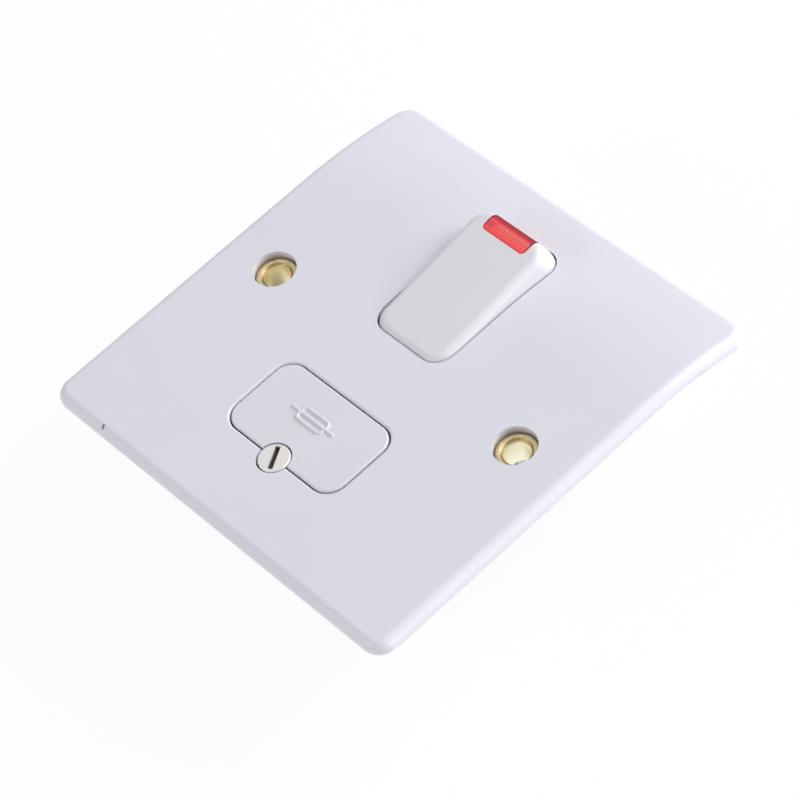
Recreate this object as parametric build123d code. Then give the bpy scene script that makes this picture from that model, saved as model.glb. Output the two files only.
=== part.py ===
from build123d import *
import math
import os

os.makedirs("parts", exist_ok=True)

# Switched fused spur unit, in mm.
# +X is the plate's right, +Y its top end, +Z out of its face. Z = 0 is the wall plane.

# Driving dimensions
PLATE = 84.0  # side of the square front plate
FACE_Z = 8.0  # flat face above the wall plane
DEPTH = 21.5  # rear housing below the wall plane
FIX_SPACING = 60.3  # centres of the fixing holes
FIX_BORE_R = 2.3  # screw way through an eyelet
ROCKER_W = 16.8  # rocker across
ROCKER_REACH = 15.2  # rocker's pivot to its end walls
ROCKER_TILT = 8.0  # degrees each way from level
CARRIER_H = 15.6  # fuse carrier's panel along Y
FUSE_L = 25.4  # cartridge fuse
FUSE_D = 6.35
CABLE_R = 2.2  # cable way through a terminal
STRIP = 0.8  # brass and copper strip
GAP = 0.3  # shadow gap around the rocker and the carrier

# Clearances and overlaps that many pieces share
FIT = 0.05  # running fit
ROOM = 0.1  # room around a seated piece
PAST = 1.0  # a cut runs this far past the face that it opens
ROOT = 0.5  # a boss, rib or wall starts this deep in its base

# Front plate
CORNER = 3.5  # plan corner of the plate and of the carrier
RIM = 3.6
RIM_ROUND = 1.75
SKIN = 2.6
SKIN_ROOT = 1.0  # fixtures under the skin end this far below the face
SKIRT_INSET = 3.5
SKIRT_WALL = 1.8
SKIRT_CORNER = 3.0
SKIRT_ROOM = 1.1  # skirt to the housing's top end
CURVE_R = 92.0  # the face falls away in this arc at the top end
CURVE_LEAD = 0.1  # the arc starts this far below the rocker's pivot
COLLAR_WALL = 1.4
COLLAR_DEPTH = 6.0
APERTURE_EDGE = 0.45  # soft edge around the carrier
CHEEK_T = 2.8
CHEEK_HALF = 4.0
CHEEK_DROP = 3.0  # cheek below the rocker's pivot
CHEEK_ROOM = 0.15
RIB_T = 1.2
RIB_DEPTH = 5.0
RIB_SHIFT = 4.0  # upper ribs above the rocker's pivot
POST_R = 2.6
PILOT_R = 1.3
PILOT_END = 3.4  # top of a pilot hole below the face

# Rocker and lens, from the pivot with the top face level
ROCKER_TOP = 6.7
ROCKER_LOW = -1.5
ROCKER_CORNER = 3.5
ROCKER_EDGE = 1.6
ROCKER_WALL = 1.7
ROCKER_ROOF = 2.0
PIVOT_DEPTH = 4.5  # pivot below the face
LENS_HALF = 5.1
LENS_L = 4.8
LENS_LOW = 2.0
LENS_CORNER = 0.9
TRUNNION_R = 1.7
TRUNNION_L = 2.9
TUBE_R = 2.5
TUBE_LOW = -6.0

# Plungers, springs and see-saw contacts
POLE_X = 4.0
PLUNGER_TIP = 13.0  # pivot to a plunger's tip
PLUNGER_TAIL = -2.5
PLUNGER_R = 1.6
PLUNGER_OUT = 0.8  # shank that shows below its tube
TIP_R = 1.2
SPRING_R = 1.15
SPRING_WIRE = 0.4
SPRING_TURNS = 4
FULCRUM_DROP = 14.0  # fulcrum below the pivot
FULCRUM_W = 3.2
BRIDGE_TILT = 9.0
BRIDGE_LOW = 0.1
BRIDGE_ARM = 8.0
BRIDGE_W = 3.6
BRIDGE_TAIL = 2.6  # long enough to balance the buttons
BRIDGE_NOSE = 1.7
BRIDGE_CORNER = 0.8
BUTTON_R = 1.4  # contact button on a bridge
BUTTON_H = 0.9
FIXED_R = 1.5  # contact button under it
FIXED_H = 0.8
PAD_BACK = 1.8
PAD_FRONT = 2.4
ARM_DROP = 3.3  # contact arm below the fulcrum
ARM_LEAD = 1.0  # arm's inner end from its pole
ARM_EXTRA = 0.4
TAB_HALF = 3.0
STOP_HALF = 1.0
STOP_H = 2.0
STOP_ROOM = 0.25

# Fuse, clips, busbars and carrier
CAP_L = 5.6
CAP_WALL = 0.225
CAP_END = 0.4
CAP_EDGE = 0.35
FUSE_DEPTH = 15.0  # fuse axis below the face
CLIP_ROOM = 0.075
CLIP_HALF = 2.2
CLIP_T = 0.6
CLIP_RISE = 3.2
LIP_L = 1.8
LIP_ROOT = 0.15
LIP_FLARE = 25.0
BUS_HALF = 1.5
BUS_TURN = 2.0
BUS_TAB = 2.5
CARRIER_SIDE = 0.75  # panel beyond each end of the fuse
CARRIER_DROP = 11.05  # panel's top edge below the fixing holes
PANEL_EDGE = 0.35
PANEL_EXTRA = 0.1
GUIDE_SET = 0.1
GUIDE_WALL = 1.3
LUG_DEPTH = 4.8
LUG_REACH = 3.5
GRIP_T = 1.6
GRIP_FIT = 0.06
GRIP_BACK = 0.8  # grips end this far inside the caps
GRIP_LOW = 0.9
CATCH_IN = 0.55
CATCH_H = 1.0

# Screws
HEAD_R = 2.85  # carrier screw
HEAD_H = 1.45
HEAD_ROOM = 0.25
SHANK_R = 1.5
SHANK_ROOM = 0.08
CARRIER_SCREW_L = 13.5
CARRIER_SLOT = 4.6
CARRIER_TURN = 30.0
SLOT_W = 0.95
SLOT_DEPTH = 0.9
SCREW_EDGE = 0.2
INSERT_R = 2.4
INSERT_ROOM = 0.06
INSERT_TAIL = 1.0
TERM_HEAD_R = 2.2
TERM_HEAD_H = 2.2
TERM_HEAD_ROOM = 1.1  # head below its terminal, backed off
HOUSING_HEAD_R = 2.45
HOUSING_HEAD_H = 2.0
HOUSING_SHANK_R = 1.25
HOUSING_SEAT = 3.5  # head's seat from the back
HOUSING_END = 3.9  # screw's end below the face
CROSS_L = 3.4
SCREW_TURN = 35.0  # heads stop at different turns

# Terminals, strap and eyelets
TERM_L = 7.0
TERM_H = 10.0
TERM_RISE = 4.0  # terminal's foot from the back
TERM_SIDE = 1.05  # brass beside the cable way
TERM_ROOF = 0.9
TERM_EDGE = 0.5
TERM_WALL = 1.6  # housing wall between a chamber and a terminal
TAB_TOP = 1.5  # a strip's tab ends this far below a terminal's top
SUPPLY_SHIFT = 9.5  # terminals from the rocker's pivot
MIDDLE_SHIFT = 9.0
STRAP_SINK = 0.5  # strap below the skin
STRAP_W = 5.5
STRAP_EDGE = 0.6  # strap from the switch chamber
STRAP_ARM_IN = 0.6
STRAP_FOOT = 2.5
EYELET_SINK = 1.5
EYELET_BRIM = 1.45
EYELET_T = 0.8
EYELET_WALL = 0.6
EYELET_FOOT = 0.4
EYELET_ROUND = 0.35
EYELET_LIP = 1.0  # throat
EYELET_END = 0.8  # tube's end above the wall plane
EYELET_ROOM = 0.13
PAD_EDGE = 1.45

# Lamp
LAMP_R = 2.0
LAMP_DROP = 7.0  # lamp below the pivot
LAMP_SHIFT = 2.5
LAMP_X0 = -5.0
LAMP_X1 = 4.0
LAMP_END = 1.2
RES_X0 = 5.5
RES_X1 = 10.5
RES_R = 1.1
RES_END = 0.4
LEAD_R = 0.3
LEAD_L = 2.0
CRADLE_X = 3.0
CRADLE_HALF = 0.6
CRADLE_BACK = 1.6

# Rear housing
FLOOR_T = 2.0
SIDE_WALL = 1.5
TOP_WALL = 1.6
LOW_WALL = 2.5
ROCKER_SIDE = 6.0  # chamber beside the rocker
CARRIER_ROOM = 0.95
SWITCH_HEAD = 1.4  # chamber beyond the rocker's ends
SWITCH_FOOT = 0.8
FUSE_HEAD = 1.5  # chamber beyond the carrier's edges
FUSE_FOOT = 2.4
HOUSING_CORNER = 2.5
HOUSING_EDGE = 0.8
BAY_ROOM = 0.4  # bay beside the cable way
FLANGE_T = 2.0
CELL = 8.4  # largest open cell between two terminals
CELL_RIB = 1.6
CELL_WALL = 1.4
CELL_CORNER = 0.6
SCREW_IN = 3.5  # housing screws from the terminals' inner ends
SCREW_TOP = 3.0  # and from the housing's ends
SCREW_LOW = 4.3
DIVIDER_HALF = 0.8
DIVIDER_RISE = 3.0
DIVIDER_END = 9.0
PROP_HALF = 1.6
BOSS_R = 3.2
SLOT_ROOM = 0.4

# Levels along Z
BACK = -DEPTH
FLOOR = BACK + FLOOR_T
SEAT_Z = FACE_Z - COLLAR_DEPTH
SKIN_Z = FACE_Z - SKIN
STRAP_TOP = SKIN_Z - STRAP_SINK
STRAP_LOW = STRAP_TOP - STRIP
PIVOT_Z = FACE_Z - PIVOT_DEPTH
FULCRUM_Z = PIVOT_Z - FULCRUM_DROP
FUSE_Z = FACE_Z - FUSE_DEPTH
TERM_LOW = BACK + TERM_RISE
TERM_TOP = TERM_LOW + TERM_H
CABLE_Z = TERM_TOP - TERM_ROOF - CABLE_R
BUS_TOP = FLOOR + STRIP
ARM_Z = FULCRUM_Z - ARM_DROP
EYELET_TOP = FACE_Z - EYELET_SINK
EYELET_SEAT = EYELET_TOP - EYELET_T
LUG_LOW = FACE_Z - LUG_DEPTH
HEAD_SEAT = FACE_Z - HEAD_H - FIT
SCREW_TIP = FACE_Z - CARRIER_SCREW_L
LAMP_Z = PIVOT_Z - LAMP_DROP

# Layout along Y: the switch hangs from the plate's top end, the carrier from the line of fixing holes
HALF = PLATE / 2
BODY_TOP = HALF - SKIRT_INSET - SKIRT_WALL - SKIRT_ROOM
SWITCH_TOP = BODY_TOP - TOP_WALL
PIVOT_Y = SWITCH_TOP - SWITCH_HEAD - ROCKER_REACH
SWITCH_LOW = PIVOT_Y - ROCKER_REACH - SWITCH_FOOT
CARRIER_Y = -CARRIER_DROP - CARRIER_H / 2
SCREW_Y = CARRIER_Y - CARRIER_H / 2 - GAP / 2
FUSE_TOP = CARRIER_Y + CARRIER_H / 2 + FUSE_HEAD
FUSE_LOW = CARRIER_Y - CARRIER_H / 2 - FUSE_FOOT
BODY_LOW = FUSE_LOW - LOW_WALL
CURVE_Y = PIVOT_Y - CURVE_LEAD
CURVE_Z = FACE_Z - CURVE_R
SUPPLY_Y = PIVOT_Y + SUPPLY_SHIFT
MIDDLE_Y = PIVOT_Y - MIDDLE_SHIFT
LOAD_Y = CARRIER_Y
LAMP_Y = SUPPLY_Y + LAMP_SHIFT
BUS_TURN_Y = (SWITCH_LOW + FUSE_TOP) / 2

# Layout along X
CARRIER_W = FUSE_L + 2 * CARRIER_SIDE
CHAMBER_X = max(CARRIER_W / 2 + CARRIER_ROOM, ROCKER_W / 2 + ROCKER_SIDE)
TERM_X = CHAMBER_X + TERM_WALL
SCREW_X = TERM_X + TERM_L / 2
BLOCK_END = TERM_X + TERM_L
BODY_X = BLOCK_END + SIDE_WALL
FIX_X = FIX_SPACING / 2
CHEEK_X = ROCKER_W / 2 + GAP + CHEEK_ROOM
CLIP_X = FUSE_L / 2 - CAP_L / 2
CAP_INNER = FUSE_L / 2 - CAP_L

# Sizes that follow from others
TERM_W = 2 * (CABLE_R + TERM_SIDE)
EYELET_R = FIX_BORE_R + EYELET_BRIM
PAD_R = EYELET_R + PAD_EDGE
BARREL_R = FUSE_D / 2 - CAP_WALL
BAY_HALF = CABLE_R + BAY_ROOM

SIDES = (-1, 1)
TERMINALS = [(side, y) for side in SIDES for y in (SUPPLY_Y, MIDDLE_Y, LOAD_Y)]
HOUSING_SCREWS = [
    (side * (TERM_X + SCREW_IN), y) for side in SIDES for y in (BODY_TOP - SCREW_TOP, BODY_LOW + SCREW_LOW)
]


def bar(x0, x1, y0, y1, z0, z1):
    """A block between two corners."""
    middle = Pos((x0 + x1) / 2, (y0 + y1) / 2, (z0 + z1) / 2)
    return middle * Box(abs(x1 - x0), abs(y1 - y0), abs(z1 - z0))


def post(x, y, r, z0, z1):
    """A round post along Z."""
    return Pos(x, y, (z0 + z1) / 2) * Cylinder(r, abs(z1 - z0))


def rod(x0, x1, y, z, r):
    """A round rod along X."""
    return Pos((x0 + x1) / 2, y, z) * Rot(0, 90, 0) * Cylinder(r, abs(x1 - x0))


def slab(width, height, corner, z0, z1, y=0.0):
    """A plate with rounded plan corners."""
    outline = RectangleRounded(width, height, corner)
    return Pos(0, y, z0) * extrude(outline, z1 - z0)


def circles(shape, axis):
    """A shape's round edges in order along an axis."""
    return shape.edges().filter_by(GeomType.CIRCLE).sort_by(axis)


def save(name, *solids):
    """Write one node, made of one solid or of a group of alike solids."""
    shape = solids[0] if len(solids) == 1 else Compound(list(solids))
    export_step(shape, f"parts/{name}.step")


def slotted_screw(head_r, head_h, shank_r, length, slot_l, slots=1):
    """A screw along Z, its slotted or crossed head facing up at Z = 0 and its end at -length."""
    head = chamfer(circles(post(0, 0, head_r, -head_h, 0), Axis.Z)[-1], SCREW_EDGE)
    shank = chamfer(circles(post(0, 0, shank_r, -length, -head_h), Axis.Z)[0], SCREW_EDGE)
    screw = head + shank
    for turn in range(slots):
        screw = screw - Rot(0, 0, 90 * turn) * Box(SLOT_W, slot_l, 2 * SLOT_DEPTH)
    return screw


# Front plate: a slab whose face falls away in an arc at the top end


def under_face(depth, low):
    """Everything from the level low up to the given depth under the curved face."""
    r = CURVE_R - depth
    reach = HALF + PAST
    end_y = reach - CURVE_Y
    end = (reach, CURVE_Z + math.sqrt(r * r - end_y * end_y))
    half_y = end_y / 2
    middle = (CURVE_Y + half_y, CURVE_Z + math.sqrt(r * r - half_y * half_y))
    start = (CURVE_Y, FACE_Z - depth)
    far = (-reach, FACE_Z - depth)
    edge = [
        Line(far, start),
        ThreePointArc(start, middle, end),
        Line(end, (reach, low)),
        Line((reach, low), (-reach, low)),
        Line((-reach, low), far),
    ]
    profile = Plane.YZ * make_face(edge)
    return extrude(profile, reach, both=True)


def on_rim(edge):
    """True for the edges around the slab's two faces, and not for its corners or the arc's start."""
    size = edge.bounding_box().size
    upright = max(size.X, size.Y) < FIT
    arc_start = size.Y < FIT and abs(edge.center().Y - CURVE_Y) < FIT
    return not upright and not arc_start


def around_carrier(edge):
    """True for the face's edges around the carrier's aperture, and not around the screw's head."""
    middle = edge.center()
    on_face = edge.bounding_box().size.Z < FIT and abs(middle.Z - FACE_Z) < FIT
    across = abs(middle.X) < CARRIER_W / 2 + 2 * GAP
    along = abs(middle.Y - CARRIER_Y) < CARRIER_H / 2 + 2 * GAP
    return on_face and across and along


def wheel(radius, half_width, corner):
    """A wheel about the X axis with rounded rims: the shape that a rocker's ends sweep."""
    blank = Rot(0, 90, 0) * Cylinder(radius, 2 * half_width)
    return fillet(blank.edges().filter_by(GeomType.CIRCLE), corner)


sheet = under_face(0, BACK) - under_face(RIM, BACK - PAST)
sheet = sheet & slab(2 * HALF, 2 * HALF, CORNER, BACK, FACE_Z + PAST)
sheet = fillet(sheet.edges().filter_by(on_rim), RIM_ROUND)

# A set-back skirt meets the wall, and the skin is thinner inside it
skirt_out = 2 * (HALF - SKIRT_INSET)
skirt_in = skirt_out - 2 * SKIRT_WALL
fixture_room = under_face(SKIN_ROOT, -PAST)
skirt = slab(skirt_out, skirt_out, SKIRT_CORNER, 0, FACE_Z)
hollow = slab(skirt_in, skirt_in, SKIRT_CORNER - SKIRT_WALL, -PAST, FACE_Z)
plate = sheet + (skirt & fixture_room)
plate = plate - (hollow & under_face(SKIN, -2 * PAST))
for side in SIDES:
    plate = plate - post(side * FIX_X, 0, PAD_R + ROOM, -PAST, STRAP_TOP)

# Fixtures under the skin: eyelet pads, rocker cheeks, ribs, carrier collar and screw posts
fixtures = []
for side in SIDES:
    fixtures.append(post(side * FIX_X, 0, PAD_R, STRAP_TOP, FACE_Z))
    cheek_low = PIVOT_Z - CHEEK_DROP
    cheek_end = CHEEK_X + CHEEK_T
    fixtures.append(
        bar(side * CHEEK_X, side * cheek_end, PIVOT_Y - CHEEK_HALF, PIVOT_Y + CHEEK_HALF, cheek_low, FACE_Z)
    )
    rib_x0 = side * (BODY_X + ROOT)
    rib_x1 = side * (skirt_in / 2 + ROOT)
    for rib_y in (CARRIER_Y, PIVOT_Y + RIB_SHIFT):
        fixtures.append(bar(rib_x0, rib_x1, rib_y - RIB_T / 2, rib_y + RIB_T / 2, FACE_Z - RIB_DEPTH, FACE_Z))
aperture_w = CARRIER_W + 2 * GAP
aperture_h = CARRIER_H + 2 * GAP
fixtures.append(
    slab(
        aperture_w + 2 * COLLAR_WALL,
        aperture_h + 2 * COLLAR_WALL,
        CORNER + GAP + COLLAR_WALL,
        SEAT_Z,
        FACE_Z,
        CARRIER_Y,
    )
)
fixtures.append(post(0, SCREW_Y, HEAD_R + GAP + COLLAR_WALL, SEAT_Z, FACE_Z))
for x, y in HOUSING_SCREWS:
    fixtures.append(post(x, y, POST_R, SEAT_Z, FACE_Z))
for piece in fixtures:
    plate = plate + (piece & fixture_room)

# Apertures, eyelet seats, trunnion slots and pilot holes
pivot_place = Pos(0, PIVOT_Y, PIVOT_Z)
plate = plate - pivot_place * wheel(ROCKER_REACH + GAP, ROCKER_W / 2 + GAP, ROCKER_CORNER + GAP)
plate = plate - slab(aperture_w, aperture_h, CORNER + GAP, SEAT_Z - PAST, FACE_Z + PAST, CARRIER_Y)
plate = plate - post(0, SCREW_Y, HEAD_R + GAP, SEAT_Z - PAST, FACE_Z + PAST)
plate = fillet(plate.edges().filter_by(around_carrier), APERTURE_EDGE)
slot_half = TRUNNION_R + FIT
for side in SIDES:
    plate = plate - post(side * FIX_X, 0, EYELET_R + EYELET_ROOM, EYELET_SEAT, FACE_Z + PAST)
    plate = plate - post(side * FIX_X, 0, FIX_BORE_R + EYELET_WALL + FIT, STRAP_LOW - PAST, FACE_Z)
    slot_x0 = side * (CHEEK_X - PAST)
    slot_x1 = side * (CHEEK_X + CHEEK_T + PAST)
    slot = rod(slot_x0, slot_x1, PIVOT_Y, PIVOT_Z, slot_half)
    slot = slot + bar(
        slot_x0, slot_x1, PIVOT_Y - slot_half, PIVOT_Y + slot_half, PIVOT_Z - CHEEK_DROP - PAST, PIVOT_Z
    )
    plate = plate - slot
for x, y in HOUSING_SCREWS:
    plate = plate - post(x, y, PILOT_R, SEAT_Z - PAST, FACE_Z - PILOT_END)
save("front_plate", plate)

# Rocker: a slice of the wheel with a soft top edge, hollow below, and the lens let into its top end
rocker_frame = pivot_place * Rot(ROCKER_TILT, 0, 0)
far_x = ROCKER_W
far_y = 2 * ROCKER_REACH
roof_low = ROCKER_TOP - ROCKER_ROOF
body = wheel(ROCKER_REACH, ROCKER_W / 2, ROCKER_CORNER)
body = body & bar(-far_x, far_x, -far_y, far_y, ROCKER_LOW, ROCKER_TOP)
body = fillet(body.faces().sort_by(Axis.Z)[-1].edges(), ROCKER_EDGE)
core = wheel(ROCKER_REACH - ROCKER_WALL, ROCKER_W / 2 - ROCKER_WALL, ROCKER_CORNER - ROCKER_WALL)
core = core & bar(-far_x, far_x, -far_y, far_y, ROCKER_LOW - PAST, roof_low)
lens_room = bar(-LENS_HALF, LENS_HALF, ROCKER_REACH - LENS_L, far_y, LENS_LOW, ROCKER_TOP + PAST)
lens_room = fillet(lens_room.edges().filter_by(Axis.Z).group_by(Axis.Y)[0], LENS_CORNER)
rocker = body - core - lens_room
for side in SIDES:
    rocker = rocker + post(side * POLE_X, 0, TUBE_R, TUBE_LOW, roof_low + ROOT)
    rocker = rocker - post(side * POLE_X, 0, PLUNGER_R + FIT, TUBE_LOW - PAST, roof_low)
    rocker = rocker + rod(
        side * (ROCKER_W / 2 - ROOT), side * (ROCKER_W / 2 + TRUNNION_L), 0, 0, TRUNNION_R
    )
save("rocker", rocker_frame * rocker)
save("neon_lens", rocker_frame * (body & lens_room))

# Plungers with round tips, and the coil springs behind them
spring_l = roof_low - PLUNGER_TAIL - SPRING_WIRE - 2 * FIT
coil = Helix(spring_l / SPRING_TURNS, spring_l, SPRING_R)
wire = Plane(coil @ 0, x_dir=(1, 0, 0), z_dir=coil % 0) * Rectangle(SPRING_WIRE, SPRING_WIRE)
spring = sweep(wire, path=coil, is_frenet=True)
plungers = []
springs = []
for side in SIDES:
    plunger = post(0, 0, PLUNGER_R, TUBE_LOW - PLUNGER_OUT, PLUNGER_TAIL)
    plunger = plunger + post(0, 0, TIP_R, TIP_R - PLUNGER_TIP, TUBE_LOW)
    plunger = plunger + Pos(0, 0, TIP_R - PLUNGER_TIP) * Sphere(TIP_R)
    pole_frame = rocker_frame * Pos(side * POLE_X, 0, 0)
    plungers.append(pole_frame * plunger)
    springs.append(pole_frame * Pos(0, 0, PLUNGER_TAIL + SPRING_WIRE / 2 + FIT) * spring)
save("plungers", *plungers)
save("plunger_springs", *springs)

# See-saw bridges and their contact buttons
bridge_frame = Pos(0, PIVOT_Y, FULCRUM_Z) * Rot(-BRIDGE_TILT, 0, 0)
buttons = []
for side, name in ((1, "line_bridge"), (-1, "neutral_bridge")):
    x0 = side * POLE_X - BRIDGE_W / 2
    x1 = side * POLE_X + BRIDGE_W / 2
    strip = bar(x0, x1, -BRIDGE_ARM - BRIDGE_TAIL, BRIDGE_ARM + BRIDGE_NOSE, BRIDGE_LOW, BRIDGE_LOW + STRIP)
    strip = fillet(strip.edges().filter_by(Axis.Z), BRIDGE_CORNER)
    save(name, bridge_frame * strip)
    button = post(side * POLE_X, BRIDGE_ARM, BUTTON_R, BRIDGE_LOW - BUTTON_H, BRIDGE_LOW)
    buttons.append(bridge_frame * button)
save("bridge_tips", *buttons)

# Fixed contacts: a sloped pad under each button, an arm across and a tab on the terminal
fixed_top = BRIDGE_LOW - BUTTON_H - FIT
fixed_low = fixed_top - FIXED_H
fixed_buttons = []
for side, name in ((1, "line_contact"), (-1, "neutral_contact")):
    x0 = side * POLE_X - BRIDGE_W / 2
    x1 = side * POLE_X + BRIDGE_W / 2
    pad = bar(x0, x1, BRIDGE_ARM - PAD_BACK, BRIDGE_ARM + PAD_FRONT, fixed_low - STRIP, fixed_low)
    arm_x = side * (POLE_X + ARM_LEAD)
    arm_y0 = SUPPLY_Y - TAB_HALF - ARM_EXTRA
    arm = bar(arm_x, side * TERM_X, arm_y0, SUPPLY_Y + TAB_HALF, ARM_Z - STRIP, ARM_Z)
    tab = bar(
        side * (TERM_X - STRIP),
        side * TERM_X,
        SUPPLY_Y - TAB_HALF,
        SUPPLY_Y + TAB_HALF,
        ARM_Z - STRIP,
        TERM_TOP - TAB_TOP,
    )
    save(name, bridge_frame * pad + arm + tab)
    button = post(side * POLE_X, BRIDGE_ARM, FIXED_R, fixed_low, fixed_top)
    fixed_buttons.append(bridge_frame * button)
save("fixed_tips", *fixed_buttons)

# Busbars on the floor, with fulcrum posts and fuse clips


def fulcrum(side):
    """The upright edge that a bridge rocks on."""
    x0 = side * POLE_X - FULCRUM_W / 2
    x1 = side * POLE_X + FULCRUM_W / 2
    return bar(x0, x1, PIVOT_Y - STRIP / 2, PIVOT_Y + STRIP / 2, FLOOR, FULCRUM_Z - BRIDGE_LOW)


def fuse_clip(side):
    """Two spring prongs with flared lips on a floor strip."""
    x0 = side * CLIP_X - CLIP_HALF
    x1 = side * CLIP_X + CLIP_HALF
    clip_in = FUSE_D / 2 + CLIP_ROOM
    clip_out = clip_in + CLIP_T
    prong_top = FUSE_Z + CLIP_RISE
    clip = bar(x0, x1, CARRIER_Y - clip_out, CARRIER_Y + clip_out, FLOOR, BUS_TOP)
    for way in SIDES:
        prong_y = CARRIER_Y + way * clip_in
        clip = clip + bar(x0, x1, prong_y, CARRIER_Y + way * clip_out, FLOOR, prong_top)
        lip = bar(x0, x1, 0, way * CLIP_T, 0, LIP_L)
        clip = clip + Pos(0, prong_y, prong_top - LIP_ROOT) * Rot(-way * LIP_FLARE, 0, 0) * lip
    return clip


def terminal_tab(y):
    """A strip from a busbar's floor level up the inner face of a terminal on the left."""
    return bar(-TERM_X, STRIP - TERM_X, y - BUS_TAB, y + BUS_TAB, FLOOR, TERM_TOP - TAB_TOP)


bus_x0 = POLE_X - BUS_HALF
bus_x1 = POLE_X + BUS_HALF
clip_x0 = CLIP_X - CLIP_HALF
clip_x1 = CLIP_X + CLIP_HALF
bus_y0 = BUS_TURN_Y - BUS_TURN
bus_y1 = BUS_TURN_Y + BUS_TURN
line_bus = fulcrum(1) + fuse_clip(1)
line_bus = line_bus + bar(bus_x0, bus_x1, bus_y0, PIVOT_Y + BUS_TAB, FLOOR, BUS_TOP)
line_bus = line_bus + bar(bus_x0, clip_x1, bus_y0, bus_y1, FLOOR, BUS_TOP)
line_bus = line_bus + bar(clip_x0, clip_x1, CARRIER_Y, BUS_TURN_Y, FLOOR, BUS_TOP)
save("line_busbar", line_bus)

load_bus = fuse_clip(-1) + terminal_tab(LOAD_Y)
load_bus = load_bus + bar(-TERM_X, -CLIP_X, LOAD_Y - BUS_TAB, LOAD_Y + BUS_TAB, FLOOR, BUS_TOP)
save("load_busbar", load_bus)

neutral_bus = fulcrum(-1) + terminal_tab(MIDDLE_Y)
neutral_bus = neutral_bus + bar(-bus_x1, -bus_x0, MIDDLE_Y - BUS_TAB, PIVOT_Y + BUS_TAB, FLOOR, BUS_TOP)
neutral_bus = neutral_bus + bar(-TERM_X, -bus_x0, MIDDLE_Y - BUS_TAB, MIDDLE_Y + BUS_TAB, FLOOR, BUS_TOP)
save("neutral_busbar", neutral_bus)

# Tunnel terminals and their screws, backed off so that the cable ways are free


def terminal(side, y):
    """A brass block with a cable way across and a tapped hole from the back."""
    block = bar(side * TERM_X, side * BLOCK_END, y - TERM_W / 2, y + TERM_W / 2, TERM_LOW, TERM_TOP)
    block = chamfer(block.edges().filter_by(Axis.Z), TERM_EDGE)
    block = block - rod(side * (TERM_X - PAST), side * (BLOCK_END + PAST), y, CABLE_Z, CABLE_R)
    return block - post(side * SCREW_X, y, SHANK_R, TERM_LOW - PAST, CABLE_Z)


save("line_supply_terminal", terminal(1, SUPPLY_Y))
save("neutral_supply_terminal", terminal(-1, SUPPLY_Y))
save("neutral_load_terminal", terminal(-1, MIDDLE_Y))
save("line_load_terminal", terminal(-1, LOAD_Y))
save("earth_terminals", terminal(1, MIDDLE_Y), terminal(1, LOAD_Y))
term_face = TERM_LOW - TERM_HEAD_ROOM - TERM_HEAD_H
term_screw_l = CABLE_Z - CABLE_R - 2 * ROOM - term_face
term_screw = slotted_screw(TERM_HEAD_R, TERM_HEAD_H, SHANK_R - FIT, term_screw_l, 3 * TERM_HEAD_R)
terminal_screws = [
    Pos(side * SCREW_X, y, term_face) * Rot(180, 0, SCREW_TURN * number) * term_screw
    for number, (side, y) in enumerate(TERMINALS)
]
save("terminal_screws", *terminal_screws)

# Earth strap: a cross bar with eyelet pads and a bent arm to each earth terminal
strap_y1 = SWITCH_LOW - STRAP_EDGE
strap_y0 = strap_y1 - STRAP_W
arm_x0 = TERM_X + STRAP_ARM_IN
arm_x1 = BLOCK_END - STRAP_ARM_IN
strap = bar(-FIX_X, FIX_X, strap_y0, strap_y1, STRAP_LOW, STRAP_TOP)
for way, y, near in ((-1, MIDDLE_Y, strap_y1), (1, LOAD_Y, strap_y0)):
    face_y = y + way * TERM_W / 2
    strap = strap + bar(arm_x0, arm_x1, near + way * ROOT, face_y, STRAP_LOW, STRAP_TOP)
    strap = strap + bar(arm_x0, arm_x1, face_y, face_y + way * STRIP, TERM_LOW + STRAP_FOOT, STRAP_TOP)
for side in SIDES:
    strap = strap + post(side * FIX_X, 0, PAD_R, STRAP_LOW, STRAP_TOP)
for side in SIDES:
    strap = strap - post(side * FIX_X, 0, FIX_BORE_R + EYELET_WALL + FIT, STRAP_LOW - PAST, STRAP_TOP + PAST)
save("earth_strap", strap)

# Brass eyelets: a rolled ring on the seat, a clinched foot under the strap and a tube almost to the wall
brim = fillet(circles(post(0, 0, EYELET_R, EYELET_SEAT, EYELET_TOP), Axis.Z)[-1], EYELET_ROUND)
tube = post(0, 0, FIX_BORE_R + EYELET_WALL, EYELET_END, EYELET_SEAT)
foot = post(0, 0, EYELET_R, STRAP_LOW - EYELET_FOOT, STRAP_LOW)
eyelet = brim + tube + foot - post(0, 0, FIX_BORE_R, EYELET_END - PAST, FACE_Z)
lips = circles(eyelet, Axis.Z).filter_by(lambda edge: edge.radius < FIX_BORE_R + FIT)
eyelet = fillet(lips[-1], EYELET_LIP)
save("fixing_eyelets", *[Pos(side * FIX_X, 0, 0) * eyelet for side in SIDES])

# Fuse carrier: flush panel, guide wall, fuse grips and a lug under the captive screw
panel = slab(CARRIER_W, CARRIER_H, CORNER, SKIN_Z - PANEL_EXTRA, FACE_Z, CARRIER_Y)
panel = fillet(panel.faces().sort_by(Axis.Z)[-1].edges(), PANEL_EDGE)
guide_w = CARRIER_W - 2 * GUIDE_SET
guide_h = CARRIER_H - 2 * GUIDE_SET
guide_corner = CORNER - GUIDE_SET
guide = slab(guide_w, guide_h, guide_corner, LUG_LOW, SKIN_Z, CARRIER_Y)
guide = guide - slab(
    guide_w - 2 * GUIDE_WALL,
    guide_h - 2 * GUIDE_WALL,
    guide_corner - GUIDE_WALL,
    LUG_LOW - PAST,
    SKIN_Z + PAST,
    CARRIER_Y,
)
lug = post(0, SCREW_Y, HEAD_R, LUG_LOW, HEAD_SEAT)
lug = lug + bar(-HEAD_R, HEAD_R, SCREW_Y, SCREW_Y + LUG_REACH, LUG_LOW, SKIN_Z)
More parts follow.
